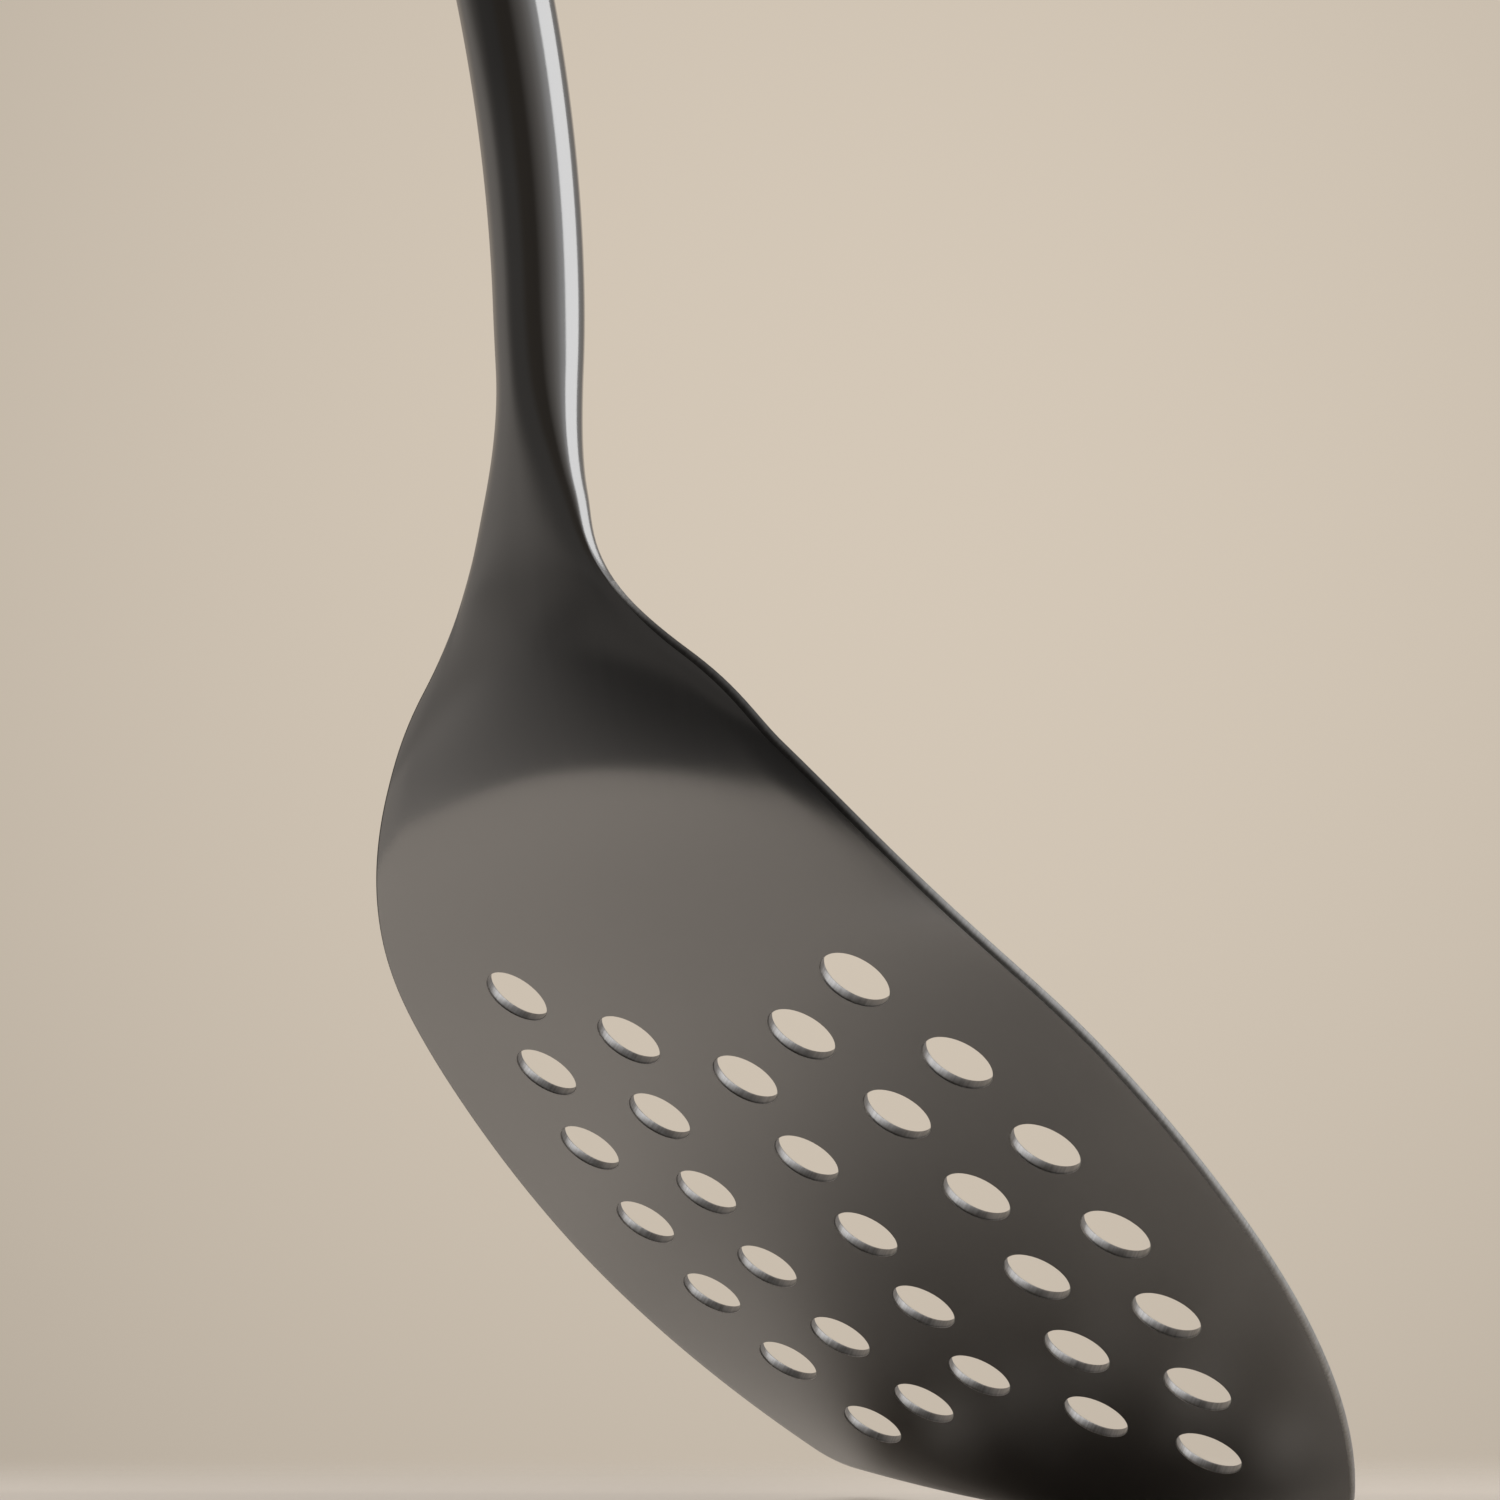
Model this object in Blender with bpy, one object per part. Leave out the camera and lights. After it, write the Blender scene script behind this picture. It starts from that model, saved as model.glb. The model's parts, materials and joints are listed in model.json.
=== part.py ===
"""Slotted kitchen turner in stainless steel.

A pressed, perforated blade is welded to a forged neck. The neck's spigot carries a hollow handle of two
pressed half shells, which a solid end piece with a hanging slot closes.

The pieces are modelled in the head's own frame: the blade's underside lies on the XY plane, +Y runs to the
front edge, +Z to the food side, and the middle hole is on the Z axis. One empty carries them all. It turns
the tool upright, with the blade sloping down to the front edge, and puts the hanging slot on the origin.
"""

import math

import bmesh
import bpy
from mathutils import Matrix, Vector

MM = 0.001

# Clearance between pieces that are welded or plugged together
FIT = 0.3 * MM

# Perforation: a straight middle column, then an inner and an outer column on arcs to each side
HOLE_DIAMETER = 7.0 * MM
MIDDLE_COUNT = 5
MIDDLE_PITCH = 12.0 * MM
INNER_COUNT = 6
INNER_PITCH = 12.5 * MM
INNER_APEX = 18.6 * MM
INNER_ARC_RADIUS = 70.0 * MM
OUTER_COUNT = 7
OUTER_PITCH = 12.6 * MM
OUTER_APEX = 31.8 * MM
OUTER_ARC_RADIUS = 79.0 * MM
OUTER_SETBACK = 0.7 * MM

# Blade: the plain rim round the holes sets its width and reach
SHEET = 1.0 * MM
SIDE_RIM = 11.9 * MM
FRONT_RIM = 11.7 * MM
FRONT_EDGE_RADIUS = 111.0 * MM
FRONT_SIDE_RADIUS = 91.0 * MM
REAR_SIDE_RADIUS = 124.7 * MM
SHOULDER_TURN = math.radians(11.2)
SHOULDER_RADIUS = 84.4 * MM
CORNER_RADIUS = 7.0 * MM

# Heel: the sheet is left thicker on the food side, in a ridge that dies out towards the holes, and the
# whole heel swells to the pan side
RIDGE_START = 47.0 * MM
RIDGE_RISE = 2.0 * MM
BELLY_RUN = 30.0 * MM
BELLY_DEPTH = 1.3 * MM

# Centre line behind the middle hole: flat blade, heel bent up, neck and handle bent gently back
BEND_START = 35.5 * MM
BEND_RADIUS = 59.4 * MM
BEND_ANGLE = math.radians(54.5)
NECK_ARC_RADIUS = 124.0 * MM
NECK_TURN = math.radians(24.5)
HANDLE_ARC_RADIUS = 600.0 * MM
HANDLE_LENGTH = 157.0 * MM

# Neck
FLARE_RADIUS = 37.7 * MM
NECK_DIAMETER = 8.5 * MM
NECK_END_DIAMETER = 9.6 * MM
SPIGOT_LENGTH = 16.0 * MM

# Handle
HANDLE_WIDTH = 18.0 * MM
HANDLE_THICKNESS = 12.0 * MM
SWELL_LENGTH = 100.0 * MM
SHELL_WALL = 1.0 * MM

# Hanging end
END_LENGTH = 40.0 * MM
NOSE_LENGTH = 9.0 * MM
SLOT_WIDTH = 8.0 * MM
SLOT_LENGTH = 16.0 * MM
SLOT_TO_END = 5.0 * MM
FLAT_THICKNESS = 6.0 * MM
FLAT_MARGIN = 3.0 * MM
FLAT_RUNOUT_RADIUS = 10.0 * MM

# Upright pose: slope of the blade below the horizontal
BLADE_SLOPE = math.radians(45.8)

# Fineness of the curved surfaces
ARC_STEP = 3.5 * MM
ARC_TURN = math.radians(9)
HOLE_SIDES = 24
RING_SIDES = 32
BEND_STATIONS = 12
RIDGE_STATIONS = 4
BELLY_STATIONS = 3
FLARE_STATIONS = 14
STEM_STATIONS = 10
SHELL_STATIONS = 18
SPIGOT_STATIONS = 3
END_STATIONS = 6
NOSE_STATIONS = 8
LAST_NOSE_TURN = math.radians(84)
SHARP_ANGLE = math.radians(30)
SQUARE_EDGE = 8.0

# Places along the centre line, measured back from the middle hole
BEND_LENGTH = BEND_RADIUS * BEND_ANGLE
JOINT_S = BEND_START + BEND_LENGTH + NECK_ARC_RADIUS * NECK_TURN
TIP_S = JOINT_S + HANDLE_LENGTH
PLUG_S = TIP_S - END_LENGTH
SLOT_S = TIP_S - SLOT_TO_END - SLOT_LENGTH / 2


def column(apex, arc_radius, pitch, count, setback):
    """Centres of one column of holes, evenly spaced along an arc that bulges to +X."""
    centres = []
    for k in range(count):
        angle = (k - (count - 1) / 2) * pitch / arc_radius
        x = apex - arc_radius * (1 - math.cos(angle))
        centres.append(Vector((x, arc_radius * math.sin(angle) - setback)))
    return centres


def hole_centres():
    """Centres of all the holes, the side columns mirrored to the left."""
    middle = [Vector((0, (k - (MIDDLE_COUNT - 1) / 2) * MIDDLE_PITCH)) for k in range(MIDDLE_COUNT)]
    right = column(INNER_APEX, INNER_ARC_RADIUS, INNER_PITCH, INNER_COUNT, 0.0)
    right += column(OUTER_APEX, OUTER_ARC_RADIUS, OUTER_PITCH, OUTER_COUNT, OUTER_SETBACK)
    left = [Vector((-c.x, c.y)) for c in right]
    return middle + right + left


HOLES = hole_centres()
HALF_WIDTH = max(c.x for c in HOLES) + HOLE_DIAMETER / 2 + SIDE_RIM
FRONT_REACH = max(c.y for c in HOLES) + HOLE_DIAMETER / 2 + FRONT_RIM

# The rear side arc runs into the shoulder's, and that into the neck's flare, where the weld lies
REAR_CENTRE_X = HALF_WIDTH - REAR_SIDE_RADIUS
SHOULDER_START_S = REAR_SIDE_RADIUS * math.sin(SHOULDER_TURN)
SHOULDER_CENTRE_X = REAR_CENTRE_X + (REAR_SIDE_RADIUS - SHOULDER_RADIUS) * math.cos(SHOULDER_TURN)
SHOULDER_CENTRE_S = (REAR_SIDE_RADIUS - SHOULDER_RADIUS) * math.sin(SHOULDER_TURN)
FLARE_CENTRE_X = NECK_DIAMETER / 2 + FLARE_RADIUS
CENTRES_APART = SHOULDER_RADIUS + FLARE_RADIUS
SHOULDER_TO_ROUND = math.sqrt(CENTRES_APART ** 2 - (FLARE_CENTRE_X - SHOULDER_CENTRE_X) ** 2)
SHOULDER_TO_WELD = SHOULDER_TO_ROUND * SHOULDER_RADIUS / CENTRES_APART
ROUND_S = SHOULDER_CENTRE_S + SHOULDER_TO_ROUND
WELD_S = SHOULDER_CENTRE_S + SHOULDER_TO_WELD
WELD_HALF_WIDTH = SHOULDER_CENTRE_X + math.sqrt(SHOULDER_RADIUS ** 2 - SHOULDER_TO_WELD ** 2)


def ease(t):
    """Smooth step from 0 to 1."""
    t = min(max(t, 0.0), 1.0)
    return t * t * (3 - 2 * t)


def mix(a, b, t):
    return a + (b - a) * t


def spread(start, end, count):
    """Evenly spaced values, both ends included."""
    return [mix(start, end, k / (count - 1)) for k in range(count)]


def half_width_at(s):
    """Half width of the blank behind its widest line, and of the neck's flare."""
    if s < SHOULDER_START_S:
        return REAR_CENTRE_X + math.sqrt(REAR_SIDE_RADIUS ** 2 - s ** 2)
    if s < WELD_S:
        return SHOULDER_CENTRE_X + math.sqrt(SHOULDER_RADIUS ** 2 - (s - SHOULDER_CENTRE_S) ** 2)
    return FLARE_CENTRE_X - math.sqrt(FLARE_RADIUS ** 2 - (ROUND_S - s) ** 2)


def ridge(s, x):
    """Extra rise of the heel's food side."""
    across = min(abs(x) / WELD_HALF_WIDTH, 1.0)
    return RIDGE_RISE * ease((s - RIDGE_START) / (WELD_S - RIDGE_START)) * (1 - across ** 2) ** 2


def belly(s, x):
    """How far the heel swells to the pan side, most in its middle."""
    across = min(abs(x) / half_width_at(s), 1.0)
    return BELLY_DEPTH * ease((s - BEND_START) / BELLY_RUN) * (1 - across ** 2)


def centre_line(s):
    """Place, height and slope of the centre line at a distance s behind the middle hole."""
    y, z, slope = 0.0, SHEET / 2, 0.0
    stretches = (
        (BEND_START, 0.0),
        (BEND_LENGTH, 1 / BEND_RADIUS),
        (NECK_ARC_RADIUS * NECK_TURN, -1 / NECK_ARC_RADIUS),
        (HANDLE_LENGTH, -1 / HANDLE_ARC_RADIUS),
    )
    for length, bend in stretches:
        step = min(s, length)
        turn = step * bend
        chord = 2 * math.sin(turn / 2) / bend if bend else step
        y -= chord * math.cos(slope + turn / 2)
        z += chord * math.sin(slope + turn / 2)
        slope += turn
        s -= step
    return y, z, slope


def beside(s, x, rise):
    """A point at x across the tool and a rise towards the food side from the centre line."""
    y, z, slope = centre_line(s)
    return Vector((x, y + rise * math.sin(slope), z + rise * math.cos(slope)))


def frame_at(s, across):
    """Matrix for a flat outline at s: its Y runs up the handle, or with across its X does."""
    slope = centre_line(s)[2]
    up_handle = Vector((0, -math.cos(slope), math.sin(slope)))
    to_food = Vector((0, math.sin(slope), math.cos(slope)))
    first, second = (up_handle, to_food) if across else (Vector((1, 0, 0)), up_handle)
    turn = Matrix((first, second, first.cross(second))).transposed().to_4x4()
    return Matrix.Translation(beside(s, 0, 0)) @ turn


def arc(centre, radius, start, end):
    """Points along an arc, both ends included."""
    turn = abs(end - start)
    steps = math.ceil(max(turn / ARC_TURN, turn * radius / ARC_STEP))
    return [
        Vector((centre[0] + radius * math.cos(a), centre[1] + radius * math.sin(a)))
        for a in spread(start, end, steps + 1)
    ]


def bearing(centre, point):
    return math.atan2(point[1] - centre[1], point[0] - centre[0])


def right_meeting(centre_a, radius_a, centre_b, radius_b):
    """The meeting point of two circles that lies further to +X."""
    a, b = Vector(centre_a), Vector(centre_b)
    gap = (b - a).length
    along = (radius_a ** 2 - radius_b ** 2 + gap ** 2) / (2 * gap)
    side = math.sqrt(radius_a ** 2 - along ** 2)
    direction = (b - a) / gap
    normal = Vector((-direction.y, direction.x))
    foot = a + direction * along
    return max((foot + normal * side, foot - normal * side), key=lambda p: p.x)


def blade_outline():
    """Flat blank of the blade: shoulders, sides, rounded corners and the bowed front edge."""
    shoulder = (SHOULDER_CENTRE_X, -SHOULDER_CENTRE_S)
    rear = (REAR_CENTRE_X, 0.0)
    side = (HALF_WIDTH - FRONT_SIDE_RADIUS, 0.0)
    front = (0.0, FRONT_REACH - FRONT_EDGE_RADIUS)
    corner = right_meeting(
        side, FRONT_SIDE_RADIUS - CORNER_RADIUS, front, FRONT_EDGE_RADIUS - CORNER_RADIUS
    )
    corner_start = bearing(side, corner)
    corner_end = bearing(front, corner)
    weld_turn = math.asin(SHOULDER_TO_WELD / SHOULDER_RADIUS)
    right = arc(shoulder, SHOULDER_RADIUS, -weld_turn, -SHOULDER_TURN)
    right += arc(rear, REAR_SIDE_RADIUS, -SHOULDER_TURN, 0.0)[1:]
    right += arc(side, FRONT_SIDE_RADIUS, 0.0, corner_start)[1:]
    right += arc(corner, CORNER_RADIUS, corner_start, corner_end)[1:]
    right += arc(front, FRONT_EDGE_RADIUS, corner_end, math.pi / 2)[1:]
    left = [Vector((-p.x, p.y)) for p in reversed(right[:-1])]
    return right + left


def put(obj, collection, parent, material=None):
    """Link an object into a collection, hang it on the empty and give it its finish."""
    collection.objects.link(obj)
    obj.parent = parent
    if material:
        obj.data.materials.append(material)
    return obj


def mesh_object(name, bm):
    """Object from a closed bmesh, faces outward, smooth on the round and sharp at the edges."""
    bmesh.ops.recalc_face_normals(bm, faces=bm.faces)
    mesh = bpy.data.meshes.new(name)
    bm.to_mesh(mesh)
    bm.free()
    mesh.shade_smooth()
    mesh.set_sharp_from_angle(angle=SHARP_ANGLE)
    return bpy.data.objects.new(name, mesh)


def plate(outline, thickness):
    """Closed plate from a flat outline, centred on its own plane."""
    curve = bpy.data.curves.new("outline", "CURVE")
    curve.dimensions = "2D"
    curve.fill_mode = "BOTH"
    curve.extrude = thickness / 2
    spline = curve.splines.new("POLY")
    spline.points.add(len(outline) - 1)
    for point, place in zip(spline.points, outline):
        point.co = (place.x, place.y, 0.0, 1.0)
    spline.use_cyclic_u = True
    guide = bpy.data.objects.new("outline", curve)
    bpy.context.scene.collection.objects.link(guide)
    graph = bpy.context.evaluated_depsgraph_get()
    mesh = bpy.data.meshes.new_from_object(guide.evaluated_get(graph))
    bm = bmesh.new()
    bm.from_mesh(mesh)
    bmesh.ops.remove_doubles(bm, verts=bm.verts, dist=0.001 * MM)
    bpy.data.objects.remove(guide)
    bpy.data.curves.remove(curve)
    bpy.data.meshes.remove(mesh)
    return bm


def loft(name, rings):
    """Closed body through rings of equally many points, capped at both ends."""
    bm = bmesh.new()
    loops = [[bm.verts.new(p) for p in ring] for ring in rings]
    sides = len(rings[0])
    for low, high in zip(loops, loops[1:]):
        for k in range(sides):
            after = (k + 1) % sides
            bm.faces.new((low[k], low[after], high[after], high[k]))
    bm.faces.new(loops[0])
    bm.faces.new(loops[-1])
    return mesh_object(name, bm)


def ring_angles():
    """Angles round a section, with no point on its widest line."""
    return [2 * math.pi * (k + 0.5) / RING_SIDES for k in range(RING_SIDES)]


def ring(s, half_width, half_height):
    """Oval section of a piece."""
    return [beside(s, half_width * math.cos(a), half_height * math.sin(a)) for a in ring_angles()]


def cut(obj, cutter):
    """Take a cutter's shape away from a piece."""
    boolean = obj.modifiers.new(cutter.name, "BOOLEAN")
    boolean.operation = "DIFFERENCE"
    boolean.object = cutter
    return boolean


def hide_cutter(cutter):
    cutter.hide_render = True
    cutter.display_type = "WIRE"
    return cutter


def hole_punches():
    """Round punches for all the holes, in one cutter."""
    bm = bmesh.new()
    for centre in HOLES:
        bmesh.ops.create_cone(
            bm,
            cap_ends=True,
            segments=HOLE_SIDES,
            radius1=HOLE_DIAMETER / 2,
            radius2=HOLE_DIAMETER / 2,
            depth=4 * SHEET,
            matrix=Matrix.Translation((centre.x, centre.y, SHEET / 2)),
        )
    return hide_cutter(mesh_object("hole_punches", bm))


def make_blade(punches):
    """Blank the sheet, punch the holes, then press the heel round its bend."""
    bm = plate(blade_outline(), SHEET)
    bmesh.ops.translate(bm, verts=bm.verts, vec=(0, 0, SHEET / 2))
    blank = mesh_object("blank", bm)
    bpy.context.scene.collection.objects.link(blank)
    cut(blank, punches)
    graph = bpy.context.evaluated_depsgraph_get()
    punched = bpy.data.meshes.new_from_object(blank.evaluated_get(graph))
    bpy.data.objects.remove(blank)
    bm = bmesh.new()
    bm.from_mesh(punched)
    bpy.data.meshes.remove(punched)
    for s in spread(BEND_START, WELD_S, BEND_STATIONS + 1)[:-1]:
        everything = bm.verts[:] + bm.edges[:] + bm.faces[:]
        bmesh.ops.bisect_plane(bm, geom=everything, plane_co=(0, -s, 0), plane_no=(0, 1, 0))
    ridge_lines = spread(-WELD_HALF_WIDTH, WELD_HALF_WIDTH, 2 * RIDGE_STATIONS + 1)
    side_lines = spread(WELD_HALF_WIDTH, half_width_at(BEND_START), BELLY_STATIONS + 2)[1:-1]
    for x in ridge_lines + side_lines + [-x for x in side_lines]:
        heel = [f for f in bm.faces if f.calc_center_bounds().y < -BEND_START]
        edges = {e for f in heel for e in f.edges}
        corners = {v for f in heel for v in f.verts}
        bmesh.ops.bisect_plane(bm, geom=[*corners, *edges, *heel], plane_co=(x, 0, 0), plane_no=(1, 0, 0))
    for vert in bm.verts:
        x, s, rise = vert.co.x, -vert.co.y, vert.co.z - SHEET / 2
        if s > BEND_START:
            vert.co = beside(s, x, rise + (ridge(s, x) if rise > 0 else 0.0) - belly(s, x))
    return mesh_object("blade", bm)


def flare_ring(s):
    """Section of the neck's flare, going from the heel's flat section to the round stem."""
    half_width = half_width_at(s)
    roundness = ease((s - WELD_S) / (ROUND_S - WELD_S))
    points = []
    for angle in ring_angles():
        x = half_width * math.cos(angle)
        flat = SHEET / 2 * (1 - abs(math.cos(angle)) ** SQUARE_EDGE) ** (1 / SQUARE_EDGE)
        if angle < math.pi:
            flat += ridge(WELD_S, math.cos(angle) * WELD_HALF_WIDTH)
        rise = mix(flat, NECK_DIAMETER / 2 * abs(math.sin(angle)), roundness)
        rise = math.copysign(rise, math.sin(angle)) - belly(s, x) * (1 - roundness)
        points.append(beside(s, x, rise))
    return points


def stem_ring(s):
    """Section of the neck's round stem, which thickens to the handle."""
    along = (s - ROUND_S) / (JOINT_S - ROUND_S)
    radius = mix(NECK_END_DIAMETER, NECK_DIAMETER, (1 - along) ** 2) / 2
    return ring(s, radius, radius)


def handle_section(s):
    """Half width and half height of the handle's outside."""
    swell = ease((s - JOINT_S) / SWELL_LENGTH)
    start = NECK_END_DIAMETER / 2
    return mix(start, HANDLE_WIDTH / 2, swell), mix(start, HANDLE_THICKNESS / 2, swell)


def spigot_ring(s):
    """Section of what plugs into the handle's hollow."""
    half_width, half_height = handle_section(s)
    inset = SHELL_WALL + FIT
    return ring(s, half_width - inset, half_height - inset)


def make_neck():
    """Forged neck: flat and wide at the weld, round above, with a spigot for the handle."""
    rings = [flare_ring(s) for s in spread(WELD_S + FIT, ROUND_S, FLARE_STATIONS)]
    rings += [stem_ring(s) for s in spread(ROUND_S, JOINT_S, STEM_STATIONS)[1:]]
    rings += [spigot_ring(s) for s in spread(JOINT_S, JOINT_S + SPIGOT_LENGTH, SPIGOT_STATIONS)]
    return loft("neck", rings)


def shell_ring(s, side):
    """Section of one half shell, outer wall then inner wall, on the top (1) or bottom (-1) side."""
    half_width, half_height = handle_section(s)
    points = []
    for inset, turn in ((0.0, 1), (SHELL_WALL, -1)):
        for angle in spread(0.0, math.pi, RING_SIDES // 2 + 1)[::turn]:
            x = (half_width - inset) * math.cos(angle)
            rise = (half_height - inset) * math.sin(angle) + FIT / 2
            points.append(beside(s, x, side * rise))
    return points


def make_shell(name, side):
    """One pressed half of the hollow handle."""
    stations = spread(JOINT_S + FIT, PLUG_S, SHELL_STATIONS)
    return loft(name, [shell_ring(s, side) for s in stations])


def make_flats_cutter():
    """Grinding wheels' shape on both sides of the end: a flat that runs out in a radius."""
    flat = FLAT_THICKNESS / 2
    flat_start = -SLOT_LENGTH / 2 - FLAT_MARGIN
    past_tip = TIP_S - SLOT_S + FLAT_MARGIN
    wheel = (flat_start, flat + FLAT_RUNOUT_RADIUS)
    runout = arc(wheel, FLAT_RUNOUT_RADIUS, -math.pi, -math.pi / 2)
    above = flat + FLAT_RUNOUT_RADIUS + HANDLE_THICKNESS
    outline = runout + [Vector((past_tip, flat)), Vector((past_tip, above)), Vector((runout[0].x, above))]
    bm = plate(outline, 2 * HANDLE_WIDTH)
    mirrored = bmesh.ops.duplicate(bm, geom=bm.faces[:] + bm.edges[:] + bm.verts[:])["geom"]
    flipped = [v for v in mirrored if isinstance(v, bmesh.types.BMVert)]
    bmesh.ops.scale(bm, verts=flipped, vec=(1, -1, 1))
    bmesh.ops.transform(bm, matrix=frame_at(SLOT_S, across=True), verts=bm.verts)
    return hide_cutter(mesh_object("end_flats", bm))


def make_slot_cutter():
    """Hanging slot with round ends."""
    reach = (SLOT_LENGTH - SLOT_WIDTH) / 2
    upper = arc((0.0, reach), SLOT_WIDTH / 2, 0.0, math.pi)
    lower = arc((0.0, -reach), SLOT_WIDTH / 2, math.pi, 2 * math.pi)
    bm = plate(upper + lower, 2 * HANDLE_THICKNESS)
    bmesh.ops.transform(bm, matrix=frame_at(SLOT_S, across=False), verts=bm.verts)
    return hide_cutter(mesh_object("hanging_slot", bm))


def nose_ring(turn):
    """Section of the rounded tip, shrinking as the quarter turn goes on."""
    s = TIP_S - NOSE_LENGTH * (1 - math.sin(turn))
    half_width, half_height = handle_section(s)
    return ring(s, half_width * math.cos(turn), half_height * math.cos(turn))


def make_hanging_end():
    """Solid end of the handle: spigot, shoulder, body and rounded nose."""
    shoulder = PLUG_S + FIT
    rings = [spigot_ring(s) for s in spread(shoulder - SPIGOT_LENGTH, shoulder, SPIGOT_STATIONS)]
    body = spread(shoulder, TIP_S - NOSE_LENGTH, END_STATIONS)
    rings += [ring(s, *handle_section(s)) for s in body]
    rings += [nose_ring(turn) for turn in spread(0.0, LAST_NOSE_TURN, NOSE_STATIONS)[1:]]
    return loft("hanging_end", rings)


def steel(name, colour, roughness):
    """Stainless steel in one of its finishes."""
    material = bpy.data.materials.new(name)
    material.use_nodes = True
    shader = material.node_tree.nodes["Principled BSDF"]
    shader.inputs["Base Color"].default_value = (*colour, 1.0)
    shader.inputs["Metallic"].default_value = 1.0
    shader.inputs["Roughness"].default_value = roughness
    material.diffuse_color = (*colour, 1.0)
    return material


def clear_scene():
    for obj in list(bpy.data.objects):
        bpy.data.objects.remove(obj)


def new_collection(name):
    collection = bpy.data.collections.new(name)
    bpy.context.scene.collection.children.link(collection)
    return collection


def main():
    clear_scene()
    pieces = new_collection("slotted_turner")
    cutters = new_collection("cutters")

    upright = bpy.data.objects.new("upright_pose", None)
    turn = Matrix.Rotation(-BLADE_SLOPE, 4, "X")
    upright.matrix_world = Matrix.Translation(-(turn @ beside(SLOT_S, 0, 0))) @ turn
    pieces.objects.link(upright)

    punches = put(hole_punches(), cutters, None)
    put(make_blade(punches), pieces, upright, steel("brushed_blade", (0.50, 0.48, 0.45), 0.38))
    punches.parent = upright

    put(make_neck(), pieces, upright, steel("satin_neck", (0.52, 0.51, 0.49), 0.28))
    for name, side in (("handle_top_shell", 1), ("handle_bottom_shell", -1)):
        put(make_shell(name, side), pieces, upright, steel(f"satin_{name}", (0.54, 0.53, 0.51), 0.30))

    end = put(make_hanging_end(), pieces, upright, steel("satin_end", (0.55, 0.54, 0.52), 0.30))
    for cutter in (make_flats_cutter(), make_slot_cutter()):
        cut(end, put(cutter, cutters, upright))


main()
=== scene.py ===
"""Slotted turner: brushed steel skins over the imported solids, with a small studio and the camera.

Lengths are in metres. The head is drawn in its own frame, where x runs across the blade, y to the
front edge and z to the food side, from the middle hole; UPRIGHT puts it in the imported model's frame.
"""
import json
import math

import bmesh
import bpy
import numpy as np
from mathutils import Matrix, Quaternion, Vector
from mathutils.bvhtree import BVHTree
from mathutils.interpolate import poly_3d_calc


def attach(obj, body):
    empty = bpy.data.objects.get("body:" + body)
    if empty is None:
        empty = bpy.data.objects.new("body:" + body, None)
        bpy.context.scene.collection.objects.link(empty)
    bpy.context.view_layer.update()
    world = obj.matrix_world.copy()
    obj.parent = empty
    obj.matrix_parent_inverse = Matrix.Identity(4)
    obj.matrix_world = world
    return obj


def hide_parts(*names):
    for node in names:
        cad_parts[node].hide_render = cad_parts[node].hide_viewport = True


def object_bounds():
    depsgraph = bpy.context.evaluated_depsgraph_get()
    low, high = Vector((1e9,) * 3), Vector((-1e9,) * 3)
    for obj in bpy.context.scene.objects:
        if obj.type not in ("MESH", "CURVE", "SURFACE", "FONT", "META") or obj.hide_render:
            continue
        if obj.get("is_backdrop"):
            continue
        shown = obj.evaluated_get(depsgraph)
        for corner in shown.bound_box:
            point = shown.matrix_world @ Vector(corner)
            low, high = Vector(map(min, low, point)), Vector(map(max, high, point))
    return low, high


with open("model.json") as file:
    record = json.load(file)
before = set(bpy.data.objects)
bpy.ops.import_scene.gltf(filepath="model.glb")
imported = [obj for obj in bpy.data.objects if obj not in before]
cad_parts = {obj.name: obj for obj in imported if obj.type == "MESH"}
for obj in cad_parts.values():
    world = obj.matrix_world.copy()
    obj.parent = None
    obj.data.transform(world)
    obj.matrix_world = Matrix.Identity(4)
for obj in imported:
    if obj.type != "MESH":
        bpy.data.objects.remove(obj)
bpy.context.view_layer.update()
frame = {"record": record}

MM = 0.001

# Blade. A side column of holes has its apex, the radius of its arc, pitch, count and setback
HOLE_DIAMETER = 7.0 * MM
MIDDLE_COUNT, MIDDLE_PITCH = 5, 12.0 * MM
INNER_COLUMN = (18.6 * MM, 70.0 * MM, 12.5 * MM, 6, 0.0)
OUTER_COLUMN = (31.8 * MM, 79.0 * MM, 12.6 * MM, 7, 0.7 * MM)
SHEET = 1.0 * MM
SIDE_RIM = 11.9 * MM
FRONT_RIM = 11.7 * MM
FRONT_EDGE_RADIUS = 111.0 * MM
FRONT_SIDE_RADIUS = 91.0 * MM
REAR_SIDE_RADIUS = 124.7 * MM
SHOULDER_TURN = math.radians(11.2)
SHOULDER_RADIUS = 84.4 * MM
CORNER_RADIUS = 7.0 * MM
RIDGE_START = 47.0 * MM
RIDGE_RISE = 2.0 * MM
DISH_RADIUS = 1.2
DISH_FLATTENING = 0.67
DISH_FADE_START, DISH_FADE_RUN = 30.0 * MM, 30.0 * MM
LONG_DISH_SHARE = 0.8
LONG_DISH_FADE_START, LONG_DISH_FADE_RUN = 10.0 * MM, 45.0 * MM
HEEL_CURL = 0.2 * MM
HEEL_CURL_FROM = 0.86
HEEL_CURL_START, HEEL_CURL_RUN = 43.0 * MM, 18.0 * MM
HEEL_UNCURL_START, HEEL_UNCURL_RUN = 66.0 * MM, 16.0 * MM
WAIST_S = 75.0 * MM
WAIST_REACH = 13.0 * MM
WAIST_DEPTH = 2.1 * MM
WAIST_CURL = 0.6
BELLY_START = 36.0 * MM
BELLY_FULL = 66.0 * MM
BELLY_DEPTH = 1.3 * MM
EDGE_ROUND = 0.35 * MM
PUNCH_ROUND = 0.18 * MM

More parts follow.
